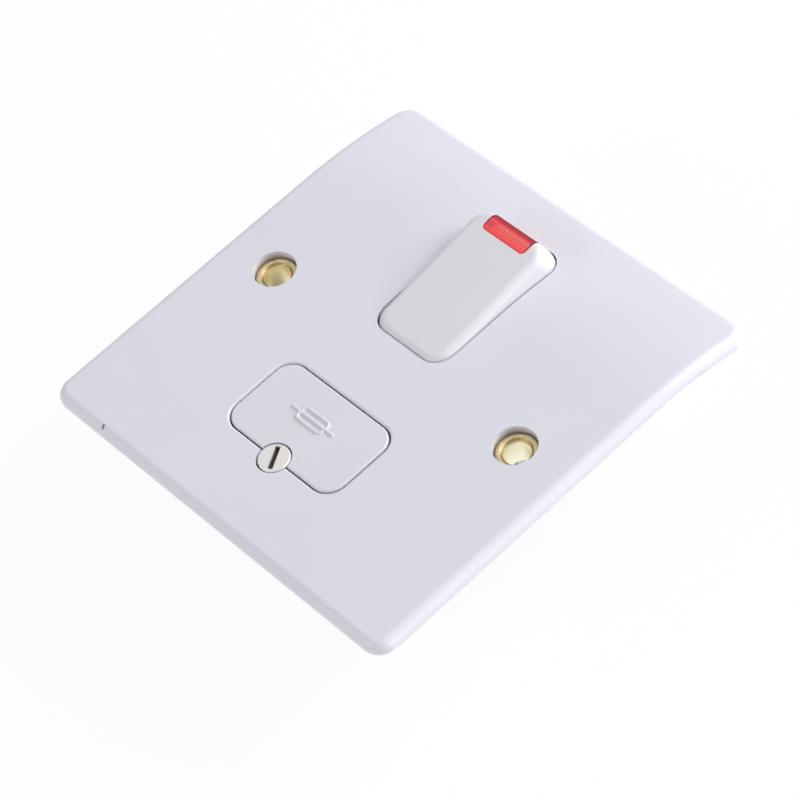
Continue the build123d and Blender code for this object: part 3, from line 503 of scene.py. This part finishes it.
class SPUR_OT_neon_lens(bpy.types.Operator):
    """Finish the red lens: fine prisms with painted glints and shade, a painted highlight line across them,
    painted shade past the crest, and dark edges
    """

    bl_idname = "spur.neon_lens"
    bl_label = "Neon lens"

    def execute(self, context):
        look = context.scene.spur_lens
        finish = Finish.material("lens_red")
        x, y, z = finish.xyz()
        wave = math.pi * MM / look.prism
        dots = (wave * (x + y)).sin() * (wave * (x - y)).sin()
        from_low = y - LENS_LOW.y
        drop = LENS_HIGH.z + math.tan(math.radians(ROCKER_LEAN)) * (from_low - LENS_CREST) - z
        below = drop.step(0.005, 0.06)
        flat = 1 - below
        before_end = 1 - drop.step(1.3, 1.8)
        # painted shade where the lens's surface falls away below the rocker's slope, darker still further
        # down
        shaded_strip = below * before_end
        crest = drop.step(0.16, 0.36) * before_end
        past_left = x.step(-3.6, -1.4)
        spread = past_left * (1 - x.step(4.3, 4.8)) * from_low.step(0.75, 1.2) * flat
        line = 1 - abs(from_low - HIGHLIGHT_FROM_LOW).step(0.05, 0.16)
        line = past_left * line * (wave * x).sin().step(-0.6, 0.4)
        haze = finish.noise(1.6, detail=3.0)
        tone = finish.blend(haze.step(0.3, 0.7), rgba(look.colour, 0.92), rgba(look.colour))
        # painted glints on the lit prisms and painted shade between them
        tone = finish.blend(0.85 * spread * dots.step(0.0, 0.6), tone, rgba(PRISM_GLINT))
        tone = finish.blend(0.85 * spread * (0 - dots).step(-0.1, 0.5), tone, rgba(PRISM_SHADE))
        # painted highlight: a bright line along the prisms
        tone = finish.blend(0.75 * line, tone, rgba(HIGHLIGHT_LINE_RED))
        smudge = 1 - (x - SMUDGE_PLACE[0]).length(from_low - SMUDGE_PLACE[1]).step(0.3, 1.1)
        tone = finish.blend(0.5 * smudge, tone, rgba(SMUDGE_RED))
        # painted shade on the falling part of the lens and, darker, past its crest
        tone = finish.blend(0.9 * shaded_strip, tone, rgba(STRIP_SHADE_RED))
        tone = finish.blend(0.9 * crest, tone, rgba(CREST_SHADE_RED))
        edge = lens_reach(x, y).step(-0.42, -0.2) * (0.35 + 0.6 * from_low.step(0.4, 1.0))
        tone = finish.blend(edge, tone, rgba(EDGE_RED))
        material = finish.surface(
            Base_Color=tone, Roughness=0.18 + 0.1 * haze + 0.3 * shaded_strip,
            Normal=finish.bump(0.5 * spread * dots + 0.3 * haze, depth=0.02),
            Coat_Weight=0.25 * flat, Coat_Roughness=0.1, Specular_IOR_Level=0.3,
        )
        dress(material, "neon_lens")
        return {"FINISHED"}


# Metals

BRASS_BROWN = (0.47, 0.30, 0.10)
EYELET_BROWN = (0.36, 0.29, 0.15)
EYELET_GLINT = (0.92, 0.82, 0.62)
# painted reflection: each bore's brass is set to the light it reflects
LEFT_BORE_REFLECTION = (1.0, 0.90, 0.60)
RIGHT_BORE_REFLECTION = (1.0, 0.95, 0.76)
EYELET_LIP = (2.35, 2.7)  # radii in mm between which an eyelet's bore becomes its ring
KNURL_FACETS = 34.0
THROAT_RADIUS = 2.62  # of the painted shade line at the lip, in mm
THROAT_SHADE_BROWN = (0.24, 0.16, 0.05)
COPPER_BROWN = (0.36, 0.16, 0.09)
SILVER = (0.86, 0.85, 0.82)
SILVER_BROWN = (0.40, 0.36, 0.30)


class MetalSettings(bpy.types.PropertyGroup):
    brass: FloatVectorProperty(
        name="Brass", description="Bright brass of the terminals, contacts and strap",
        default=(0.83, 0.62, 0.27), size=3, min=0.0, max=1.0, subtype="COLOR",
    )
    eyelet: FloatVectorProperty(
        name="Eyelet brass", description="Pale brass of the eyelets' rings",
        default=(0.55, 0.46, 0.28), size=3, min=0.0, max=1.0, subtype="COLOR",
    )
    copper: FloatVectorProperty(
        name="Copper", description="Rolled copper alloy of the busbars and bridges",
        default=(0.78, 0.44, 0.29), size=3, min=0.0, max=1.0, subtype="COLOR",
    )
    nickel: FloatVectorProperty(
        name="Nickel", description="Satin nickel of the carrier screw",
        default=(0.73, 0.71, 0.70), size=3, min=0.0, max=1.0, subtype="COLOR",
    )
    zinc: FloatVectorProperty(
        name="Zinc", description="Zinc plate of the terminal and housing screws",
        default=(0.66, 0.67, 0.67), size=3, min=0.0, max=1.0, subtype="COLOR",
    )


def metal(name, colour, tarnish, roughness, grain=EVEN, shift=UNMOVED):
    """Bare or plated metal: drawn grain, tarnish in patches and uneven polish.

    Returns the finish, its tone, its gloss and its grain as a height.
    """
    finish = Finish.material(name, shift)
    patch = finish.noise(2.4, detail=4.0).step(0.42, 0.72)
    lines = finish.noise(0.16, stretch=grain)
    tone = finish.blend(0.55 * patch + 0.2 * lines, rgba(colour), rgba(tarnish))
    gloss = roughness + 0.16 * patch + 0.16 * (lines - 0.5)
    return finish, tone, gloss, lines


def plain_metal(name, colour, tarnish, roughness, grain=EVEN, depth=0.006):
    """A metal with no marks of its own, its grain raised by a depth in mm."""
    finish, tone, gloss, lines = metal(name, colour, tarnish, roughness, grain)
    return finish.surface(Base_Color=tone, Roughness=gloss, Metallic=1.0, Normal=finish.bump(lines, depth))


class SPUR_OT_brass_pieces(bpy.types.Operator):
    """Finish the eyelets, terminals, strap, fixed contacts and insert in brass"""

    bl_idname = "spur.brass_pieces"
    bl_label = "Brass pieces"

    def execute(self, context):
        look = context.scene.spur_metal
        rolled = plain_metal(
            "brass_rolled", look.brass, BRASS_BROWN, roughness=0.26, grain=(1.0, 9.0, 1.0)
        )
        terminals = [f"{pole}_{side}_terminal" for pole in ("line", "neutral") for side in ("supply", "load")]
        dress(rolled, "earth_strap", "earth_terminals", *terminals)
        dress(rolled, "line_contact", "neutral_contact", "screw_insert")

        finish, tone, gloss, lines = metal(
            "brass_eyelet", look.eyelet, EYELET_BROWN, roughness=0.42, grain=(1.0, 1.0, 6.0),
            shift=(0.0, 5.0, 0.0),
        )
        x, y = finish.xyz()[:2]
        out = abs(x) - FIX_X
        radius = out.length(y)
        ring = radius.step(*EYELET_LIP)
        knurl = (KNURL_FACETS * y.angle(out)).sin() * ring
        # painted glints in spots on the ring
        spark = finish.noise(0.3).step(0.5, 0.7)
        tone = finish.blend(0.5 * ring * spark, tone, rgba(EYELET_GLINT))
        # painted reflection: the bore is paler than the ring, the right one paler and the left one more
        # golden
        painted_bore_reflection = finish.blend(x.step(-1.0, 1.0), rgba(LEFT_BORE_REFLECTION), rgba(RIGHT_BORE_REFLECTION))
        tone = finish.blend(1 - ring, tone, painted_bore_reflection)
        # painted shade: a dark line in the crease where the ring turns down into the bore
        lip_shade = 1 - abs(radius - THROAT_RADIUS).step(0.1, 0.32)
        tone = finish.blend(0.85 * lip_shade, tone, rgba(THROAT_SHADE_BROWN))
        normal = finish.bump(0.5 * lines + 0.35 * knurl, depth=0.02)
        dress(finish.surface(Base_Color=tone, Roughness=gloss, Metallic=1.0, Normal=normal), "fixing_eyelets")
        return {"FINISHED"}


class SPUR_OT_contacts(bpy.types.Operator):
    """Finish the copper busbars and bridges and the silver contact buttons"""

    bl_idname = "spur.contacts"
    bl_label = "Contacts"

    def execute(self, context):
        look = context.scene.spur_metal
        rolled = plain_metal(
            "copper_rolled", look.copper, COPPER_BROWN, roughness=0.3, grain=(1.0, 10.0, 1.0)
        )
        dress(rolled, "line_busbar", "load_busbar", "neutral_busbar", "line_bridge", "neutral_bridge")
        button = plain_metal("silver_button", SILVER, SILVER_BROWN, roughness=0.24, depth=0.01)
        dress(button, "fixed_tips", "bridge_tips")
        return {"FINISHED"}


# Screws, in mm

SLOT_HALF = 0.475  # half the width of a slot, or of a cross's arm
SLOT_DEPTH = 0.9
HEAD_EDGE = 0.2  # chamfer round a head
HEAD_COLUMNS = 72
ROWS_PER_PITCH = 8
CARRIER_TURN = 30.0  # of the carrier screw's slot, in degrees
NEXT_TURN = 35.0  # from one screw's slot to the next one's on the back, in degrees
RIM_SOIL_AND_SHADE = 0.35  # soil and painted shade at a recess's upper edge, where its floor has 1
SOIL_AND_SHADE_EDGE = (0.3, 0.9)  # soil and painted shade between which a recess's dark tone sets in
NICKEL_GREY = (0.66, 0.63, 0.60)
NICKEL_SOIL_AND_SHADE = (0.045, 0.036, 0.034)
TURNED_RINGS = 30.0  # radians of tool marks to each mm
ZINC_GREY = (0.50, 0.50, 0.44)
ZINC_SOIL_AND_SHADE = (0.09, 0.085, 0.08)


class ScrewSettings(bpy.types.PropertyGroup):
    pitch: FloatProperty(
        name="Pitch", description="Thread pitch",
        default=0.0006, min=0.0003, max=0.002, unit="LENGTH",
    )
    thread: FloatProperty(
        name="Thread depth", description="Depth of the thread below the shank's full radius",
        default=0.00028, min=0.00005, max=0.0008, unit="LENGTH",
    )


def recess_reach(turn, slot_reach, crossed):
    """Distance from a head's middle to its recess's edge at each angle.

    It is the way out of one box, or of two that cross.
    """
    side = np.maximum(np.abs(np.cos(turn)), TINY)
    along = np.maximum(np.abs(np.sin(turn)), TINY)
    reach = np.minimum(SLOT_HALF / side, slot_reach / along)
    other = np.minimum(slot_reach / side, SLOT_HALF / along)
    return np.maximum(reach, other) if crossed else reach


def screw_form(head_radius, head_height, shank_radius, length, slot_reach, pitch, thread, crossed=False):
    """A screw with its head's top at the origin, facing up: one profile turned round the axis.

    From the tip, rows climb the shank, whose radius rises and falls once per pitch and lags one pitch
    per turn, then go out under the head, up its side, in over its chamfer to the recess's edge, down the
    recess's wall and in to the middle of its floor. Where the recess runs out through the head's side,
    the side stops at its floor. Returns the grid and, per point, its share of soil and painted shade.
    """
    rim = head_radius - HEAD_EDGE
    corners = np.arctan2([slot_reach, SLOT_HALF, SLOT_HALF], [SLOT_HALF, SLOT_HALF, slot_reach])
    mouth = np.arccos(min(1.0, SLOT_HALF / rim)) + np.array([-TINY, TINY])
    keys = np.r_[corners, mouth]
    even = np.linspace(-math.pi, math.pi, HEAD_COLUMNS, endpoint=False)
    turn = np.unique(np.round(np.r_[even, keys, -keys, math.pi - keys, keys - math.pi], 7))
    reach = recess_reach(turn, slot_reach, crossed)
    opens = reach >= rim
    reach = np.minimum(reach, rim)

    rows = int(ROWS_PER_PITCH * (length - head_height) / pitch)
    level = np.linspace(-length, -head_height, rows)[:, None]
    from_tip, from_head = (level + length) / pitch, (-head_height - level) / pitch
    phase = (level / pitch - turn / (2 * math.pi)) % 1.0
    crest = np.clip(1.4 * (1 - np.abs(2 * phase - 1)) - 0.2, 0.0, 1.0)
    fade = np.clip(from_tip, 0.0, 1.0) * np.clip(from_head, 0.0, 1.0)
    neck = np.clip(1 - from_head, 0.0, 1.0)
    shank = shank_radius - thread + thread * np.maximum(crest * fade, neck)

    full = np.ones_like(turn)
    radii = np.array([
        0 * full, *shank, head_radius * full, head_radius * full, rim * full, reach, reach, 0 * full,
    ])
    side_top = np.where(opens, -SLOT_DEPTH, -HEAD_EDGE)
    face = np.where(opens, -SLOT_DEPTH, 0.0)
    bottom = -SLOT_DEPTH * full
    levels = np.array([
        -length * full, *(level * full), -head_height * full, side_top, face, face, bottom, bottom,
    ])
    # soil and painted shade: 1 on the recess's walls and floor
    soil = np.zeros_like(radii)
    soil[-2:] = 1.0
    soil[-3] = np.where(opens, 1.0, RIM_SOIL_AND_SHADE)
    return np.stack([radii * np.cos(turn), radii * np.sin(turn), levels], axis=-1), soil


def set_screw(form, x, y, z, turn, from_back=False):
    """Turns a screw about its axis by an angle in degrees, and puts its head at a place.

    From the back, it is first tipped over to face down.
    """
    matrix = Matrix.Rotation(math.radians(turn), 3, "Z")
    if from_back:
        matrix = Matrix.Rotation(math.pi, 3, "X") @ matrix
    return form @ np.array(matrix).T + np.array([x, y, z])


def back_screws(name, box, ys, material, **sizes):
    """One piece of like screws driven from the back: two columns, as long as their box is high."""
    low, high = box
    form, soil = screw_form(length=(high.z - low.z) / MM, **sizes)
    places = [(side * TERMINAL_X, y) for side in (-1, 1) for y in ys]
    grids = [set_screw(form, x, y, low.z / MM, NEXT_TURN * n, True) for n, (x, y) in enumerate(places)]
    return shell(name, grids, material, "unit", "zinc_steel", soil=soil)


class SPUR_OT_screws(bpy.types.Operator):
    """Make the carrier, terminal and housing screws with threads and recesses darkened by soil and painted
    shade
    """

    bl_idname = "spur.screws"
    bl_label = "Screws"

    def execute(self, context):
        look, size = context.scene.spur_metal, context.scene.spur_screw
        pitch, thread = size.pitch / MM, size.thread / MM
        finish, tone, gloss, lines = metal("nickel_screw", look.nickel, NICKEL_GREY, roughness=0.46)
        x, y = finish.xyz()[:2]
        turned = (x.length(y - SCREW_Y) * TURNED_RINGS).sin()
        # soil and painted shade: the recess goes nearly black and loses its shine
        soiled = finish.own("soil").step(*SOIL_AND_SHADE_EDGE)
        tone = finish.blend(0.93 * soiled, tone, rgba(NICKEL_SOIL_AND_SHADE))
        nickel = finish.surface(
            Base_Color=tone, Roughness=gloss + 0.3 * soiled, Metallic=0.5 * (1 - soiled),
            Normal=finish.bump(0.6 * lines + 0.12 * turned, depth=0.006),
        )
        form, soil = screw_form(
            head_radius=2.85, head_height=1.45, shank_radius=1.5, length=13.5, slot_reach=2.3,
            pitch=pitch, thread=thread,
        )
        grid = set_screw(form, 0.0, SCREW_Y, FACE, CARRIER_TURN)
        screw = shell("carrier_screw_threaded", [grid], nickel, "retaining_screw", "nickel", soil=soil)
        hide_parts("carrier_screw")

        finish, tone, gloss, lines = metal(
            "zinc_screw", look.zinc, ZINC_GREY, roughness=0.3, shift=(0.0, 0.0, 9.0)
        )
        # soil and painted shade: the recess goes dark and loses its shine
        soiled = finish.own("soil").step(*SOIL_AND_SHADE_EDGE)
        tone = finish.blend(0.8 * soiled, tone, rgba(ZINC_SOIL_AND_SHADE))
        zinc = finish.surface(
            Base_Color=tone, Roughness=gloss + 0.25 * soiled, Metallic=1 - 0.6 * soiled,
            Normal=finish.bump(lines, depth=0.008),
        )
        screws = back_screws(
            "terminal_screws_threaded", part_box("terminal_screws"), TERMINAL_YS, zinc,
            head_radius=2.2, head_height=2.2, shank_radius=1.45, slot_reach=6.6,
            pitch=pitch, thread=thread,
        )
        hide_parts("terminal_screws")
        screws = back_screws(
            "housing_screws_threaded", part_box("housing_screws"), HOUSING_YS, zinc,
            head_radius=HOUSING_HEAD, head_height=2.0, shank_radius=1.25, slot_reach=1.7,
            pitch=1.6 * pitch, thread=thread, crossed=True,
        )
        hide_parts("housing_screws")
        return {"FINISHED"}


# Fuse, lamp and springs

CERAMIC_DARK = (0.78, 0.75, 0.67)
CERAMIC_LIGHT = (0.84, 0.82, 0.76)
CERAMIC_FLECK = (0.42, 0.38, 0.30)
CAP_PLATE = (0.80, 0.79, 0.76)
CAP_BROWN = (0.55, 0.51, 0.44)
GLOW_ENDS = (-4.5, 1.0)  # x over which the lamp's glow fades, in mm
LAMP_GLOW = (0.95, 0.55, 0.38)
LAMP_CLEAR = (0.92, 0.84, 0.80)
LACQUER_DARK = (0.56, 0.41, 0.22)
LACQUER_LIGHT = (0.68, 0.52, 0.31)
RESISTOR_BANDS = {  # colour by its x in mm
    6.7: (0.45, 0.22, 0.05),
    7.6: (0.03, 0.03, 0.03),
    8.5: (0.75, 0.55, 0.05),
    9.5: (0.60, 0.45, 0.14),
}
TINNED = (0.74, 0.74, 0.72)
TINNED_GREY = (0.46, 0.45, 0.43)
SPRING_STEEL = (0.58, 0.58, 0.59)
SPRING_BROWN = (0.30, 0.28, 0.26)


class SPUR_OT_fuse(bpy.types.Operator):
    """Finish the fuse's ceramic barrel and its plated caps"""

    bl_idname = "spur.fuse"
    bl_label = "Cartridge fuse"

    def execute(self, context):
        finish = Finish.material("fuse_ceramic")
        tint = finish.noise(3.0, detail=4.0).step(0.3, 0.7)
        fleck = 1 - finish.cells(0.9).step(0.04, 0.09)
        tone = finish.blend(tint, rgba(CERAMIC_DARK), rgba(CERAMIC_LIGHT))
        tone = finish.blend(0.35 * fleck, tone, rgba(CERAMIC_FLECK))
        pores = finish.noise(0.2, detail=3.0)
        normal = finish.bump(pores, depth=0.015)
        dress(finish.surface(Base_Color=tone, Roughness=0.42 + 0.2 * pores, Normal=normal), "fuse_barrel")
        caps = plain_metal("fuse_cap_plate", CAP_PLATE, CAP_BROWN, roughness=0.2, grain=(1.0, 6.0, 6.0))
        dress(caps, "fuse_caps")
        return {"FINISHED"}


class SPUR_OT_lamp(bpy.types.Operator):
    """Finish the neon lamp, its resistor and leads, and the plunger springs"""

    bl_idname = "spur.lamp"
    bl_label = "Lamp and springs"

    def execute(self, context):
        finish = Finish.material("lamp_glass")
        x = finish.xyz()[0]
        haze = finish.noise(1.2, detail=3.0)
        tone = finish.blend(x.step(*GLOW_ENDS), rgba(LAMP_GLOW), rgba(LAMP_CLEAR))
        material = finish.surface(
            Base_Color=tone, Roughness=0.04 + 0.06 * haze, Transmission_Weight=0.7, IOR=1.5, Alpha=0.75
        )
        dress(material, "neon_lamp")

        finish = Finish.material("resistor_lacquer")
        x = finish.xyz()[0]
        tone = finish.blend(finish.noise(0.8, detail=3.0), rgba(LACQUER_DARK), rgba(LACQUER_LIGHT))
        for band, colour in RESISTOR_BANDS.items():
            tone = finish.blend(1 - abs(x - band).step(0.2, 0.26), tone, rgba(colour))
        lacquer = finish.noise(0.6)
        normal = finish.bump(lacquer, depth=0.02)
        dress(finish.surface(Base_Color=tone, Roughness=0.25 + 0.2 * lacquer, Normal=normal), "neon_resistor")

        leads = plain_metal("tinned_wire", TINNED, TINNED_GREY, roughness=0.28, grain=(6.0, 1.0, 6.0))
        dress(leads, "lamp_leads")
        springs = plain_metal("spring_wire", SPRING_STEEL, SPRING_BROWN, roughness=0.26, depth=0.008)
        dress(springs, "plunger_springs")
        return {"FINISHED"}


# Stage

FLOOR_REACH = 2.0  # in metres each way
FLOOR_POINTS = 41
FLOOR_GAP = 0.0001  # under the housing, in metres
LIGHT_DISTANCE = 1.2  # in metres
SENSOR_WIDTH = 36.0  # in mm
CLIP_START = 0.01  # in metres


class StageSettings(bpy.types.PropertyGroup):
    aim: FloatVectorProperty(
        name="Aim", description="Point on the face that the camera looks at",
        default=(0.008166, -0.005533, 0.008), size=3, unit="LENGTH",
    )
    distance: FloatProperty(
        name="Distance", description="Camera to its aim",
        default=0.57044, min=0.1, max=5.0, unit="LENGTH",
    )
    azimuth: FloatProperty(
        name="Azimuth", description="Camera's turn from the lower edge towards the right edge",
        default=math.radians(62.646), subtype="ANGLE",
    )
    elevation: FloatProperty(
        name="Elevation", description="Camera's height above the horizon",
        default=math.radians(50.716), subtype="ANGLE",
    )
    roll: FloatProperty(
        name="Roll", description="Camera's turn about its own axis",
        default=math.radians(-19.589), subtype="ANGLE",
    )
    lens: FloatProperty(
        name="Focal length", description="On a 36 mm sensor",
        default=156.07, min=10.0, max=300.0, unit="CAMERA",
    )
    sky: FloatProperty(
        name="Sky level", description="Even light from all round",
        default=0.38, min=0.0, max=2.0,
    )
    key: FloatProperty(
        name="Key light", description="Large soft light beyond the top right corner",
        default=16.5, min=0.0, max=100.0, unit="POWER",
    )
    side: FloatProperty(
        name="Side light", description="Weak soft light low on the right",
        default=2.2, min=0.0, max=100.0, unit="POWER",
    )
    fill: FloatProperty(
        name="Fill light", description="Soft light from below the lower edge",
        default=5.3, min=0.0, max=100.0, unit="POWER",
    )
    glow: FloatProperty(
        name="Floor glow", description="Share of plain white in the floor as the camera sees it",
        default=0.93, min=0.0, max=1.0, subtype="FACTOR",
    )
    floor_colour: FloatVectorProperty(
        name="Floor colour", description="Plain pale floor",
        default=(0.93, 0.93, 0.93), size=3, min=0.0, max=1.0, subtype="COLOR",
    )


def seen_rays(finish):
    """1 for rays from the camera, from a mirror or through glass, and 0 for rays of light."""
    rays = finish.node("ShaderNodeLightPath").socket.node
    camera, glossy, clear = (
        Value(finish, rays.outputs[name])
        for name in ("Is Camera Ray", "Is Glossy Ray", "Is Transmission Ray")
    )
    return camera.high(glossy).high(clear)


def lay_floor(look):
    """A level square grid of points just under the housing, matt to light and pale to the camera."""
    finish = Finish.material("floor_pale")
    matt = finish.node("ShaderNodeBsdfDiffuse", None, {"Color": rgba(look.floor_colour)})
    white = finish.node("ShaderNodeEmission", None, {"Color": rgba(WHITE), "Strength": 1.0})
    both = finish.node("ShaderNodeMixShader", None, {0: look.glow * seen_rays(finish), 1: matt, 2: white})
    finish.node("ShaderNodeOutputMaterial", None, {"Surface": both})
    reach = np.linspace(-FLOOR_REACH, FLOOR_REACH, FLOOR_POINTS)
    x, y = np.meshgrid(reach, reach)
    points = np.stack([x, y, np.full_like(x, FLOOR * MM - FLOOR_GAP)], axis=-1)
    index = np.arange(x.size).reshape(x.shape)
    faces = np.stack([index[:-1, :-1], index[:-1, 1:], index[1:, 1:], index[1:, :-1]], axis=-1)
    mesh = bpy.data.meshes.new("floor")
    mesh.from_pydata(points.reshape(-1, 3).tolist(), [], faces.reshape(-1, 4).tolist())
    mesh.materials.append(finish.made)
    floor = bpy.data.objects.new("floor", mesh)
    bpy.context.scene.collection.objects.link(floor)


def hang_sky(look):
    """A white world: plain white as it is seen, and weaker as it lights."""
    world = bpy.data.worlds.new("studio")
    world.use_nodes = True
    bpy.context.scene.world = world
    sky = Finish(world.node_tree)
    soft = sky.node("ShaderNodeBackground", None, {"Color": rgba(WHITE), "Strength": look.sky})
    plain = sky.node("ShaderNodeBackground", None, {"Color": rgba(WHITE), "Strength": 1.0})
    both = sky.node("ShaderNodeMixShader", None, {0: seen_rays(sky), 1: soft, 2: plain})
    sky.node("ShaderNodeOutputWorld", None, {"Surface": both})


def around(azimuth, elevation):
    """The direction towards a camera or lamp: azimuth 0 is -Y, and it grows towards +X."""
    flat = math.cos(elevation)
    return Vector((math.sin(azimuth) * flat, -math.cos(azimuth) * flat, math.sin(elevation)))


def soft_light(name, azimuth, elevation, size, power):
    """A square area lamp that faces the origin, placed by angles in degrees."""
    lamp = bpy.data.lights.new(name, "AREA")
    lamp.size = size
    lamp.energy = power
    light = bpy.data.objects.new(name, lamp)
    away = around(math.radians(azimuth), math.radians(elevation))
    light.location = away * LIGHT_DISTANCE
    light.rotation_euler = (-away).to_track_quat("-Z", "Y").to_euler()
    bpy.context.scene.collection.objects.link(light)


def aim_camera(look):
    """The scene's camera: back from its aim by a distance, turned to face it and rolled."""
    camera = bpy.data.cameras.new("camera")
    camera.lens = look.lens
    camera.sensor_width = SENSOR_WIDTH
    camera.clip_start = CLIP_START
    holder = bpy.data.objects.new("camera", camera)
    back = around(look.azimuth, look.elevation)
    turned = (-back).to_track_quat("-Z", "Y").to_matrix() @ Matrix.Rotation(look.roll, 3, "Z")
    holder.matrix_world = Matrix.Translation(Vector(look.aim) + back * look.distance) @ turned.to_4x4()
    bpy.context.scene.collection.objects.link(holder)
    bpy.context.scene.camera = holder


class SPUR_OT_stage(bpy.types.Operator):
    """Lay the floor, light it softly and set the camera at the photograph's angle"""

    bl_idname = "spur.stage"
    bl_label = "Stage"

    def execute(self, context):
        look = context.scene.spur_stage
        lay_floor(look)
        hang_sky(look)
        soft_light("key_light", azimuth=151.0, elevation=29.0, size=0.9, power=look.key)
        soft_light("side_light", azimuth=96.0, elevation=5.0, size=0.3, power=look.side)
        soft_light("fill_light", azimuth=-20.0, elevation=24.0, size=0.8, power=look.fill)
        aim_camera(look)
        context.scene.view_settings.view_transform = "Standard"
        return {"FINISHED"}


SETTINGS = {
    "spur_moulding": MouldingSettings,
    "spur_symbol": SymbolSettings,
    "spur_lens": LensSettings,
    "spur_metal": MetalSettings,
    "spur_screw": ScrewSettings,
    "spur_stage": StageSettings,
}
OPERATORS = (
    SPUR_OT_white_mouldings,
    SPUR_OT_rear_housing,
    SPUR_OT_fuse_symbol,
    SPUR_OT_neon_lens,
    SPUR_OT_brass_pieces,
    SPUR_OT_contacts,
    SPUR_OT_screws,
    SPUR_OT_fuse,
    SPUR_OT_lamp,
    SPUR_OT_stage,
)


class SPUR_PT_looks(bpy.types.Panel):
    """Sizes, colours and steps of the spur unit's looks"""

    bl_idname = "SPUR_PT_looks"
    bl_label = "Spur unit"
    bl_space_type = "VIEW_3D"
    bl_region_type = "UI"
    bl_category = "Spur unit"

    def draw(self, context):
        for name, group in SETTINGS.items():
            box = self.layout.box()
            for key in group.__annotations__:
                box.prop(getattr(context.scene, name), key)
        for operator in OPERATORS:
            self.layout.operator(operator.bl_idname)


def register():
    for item in (*SETTINGS.values(), *OPERATORS, SPUR_PT_looks):
        bpy.utils.register_class(item)
    for name, group in SETTINGS.items():
        setattr(bpy.types.Scene, name, PointerProperty(type=group))


def unregister():
    for name in SETTINGS:
        delattr(bpy.types.Scene, name)
    for item in reversed((*SETTINGS.values(), *OPERATORS, SPUR_PT_looks)):
        bpy.utils.unregister_class(item)


def main():
    """Registers the add-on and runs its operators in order."""
    register()
    for operator in OPERATORS:
        group, step = operator.bl_idname.split(".")
        getattr(getattr(bpy.ops, group), step)()


if __name__ == "__main__":
    main()
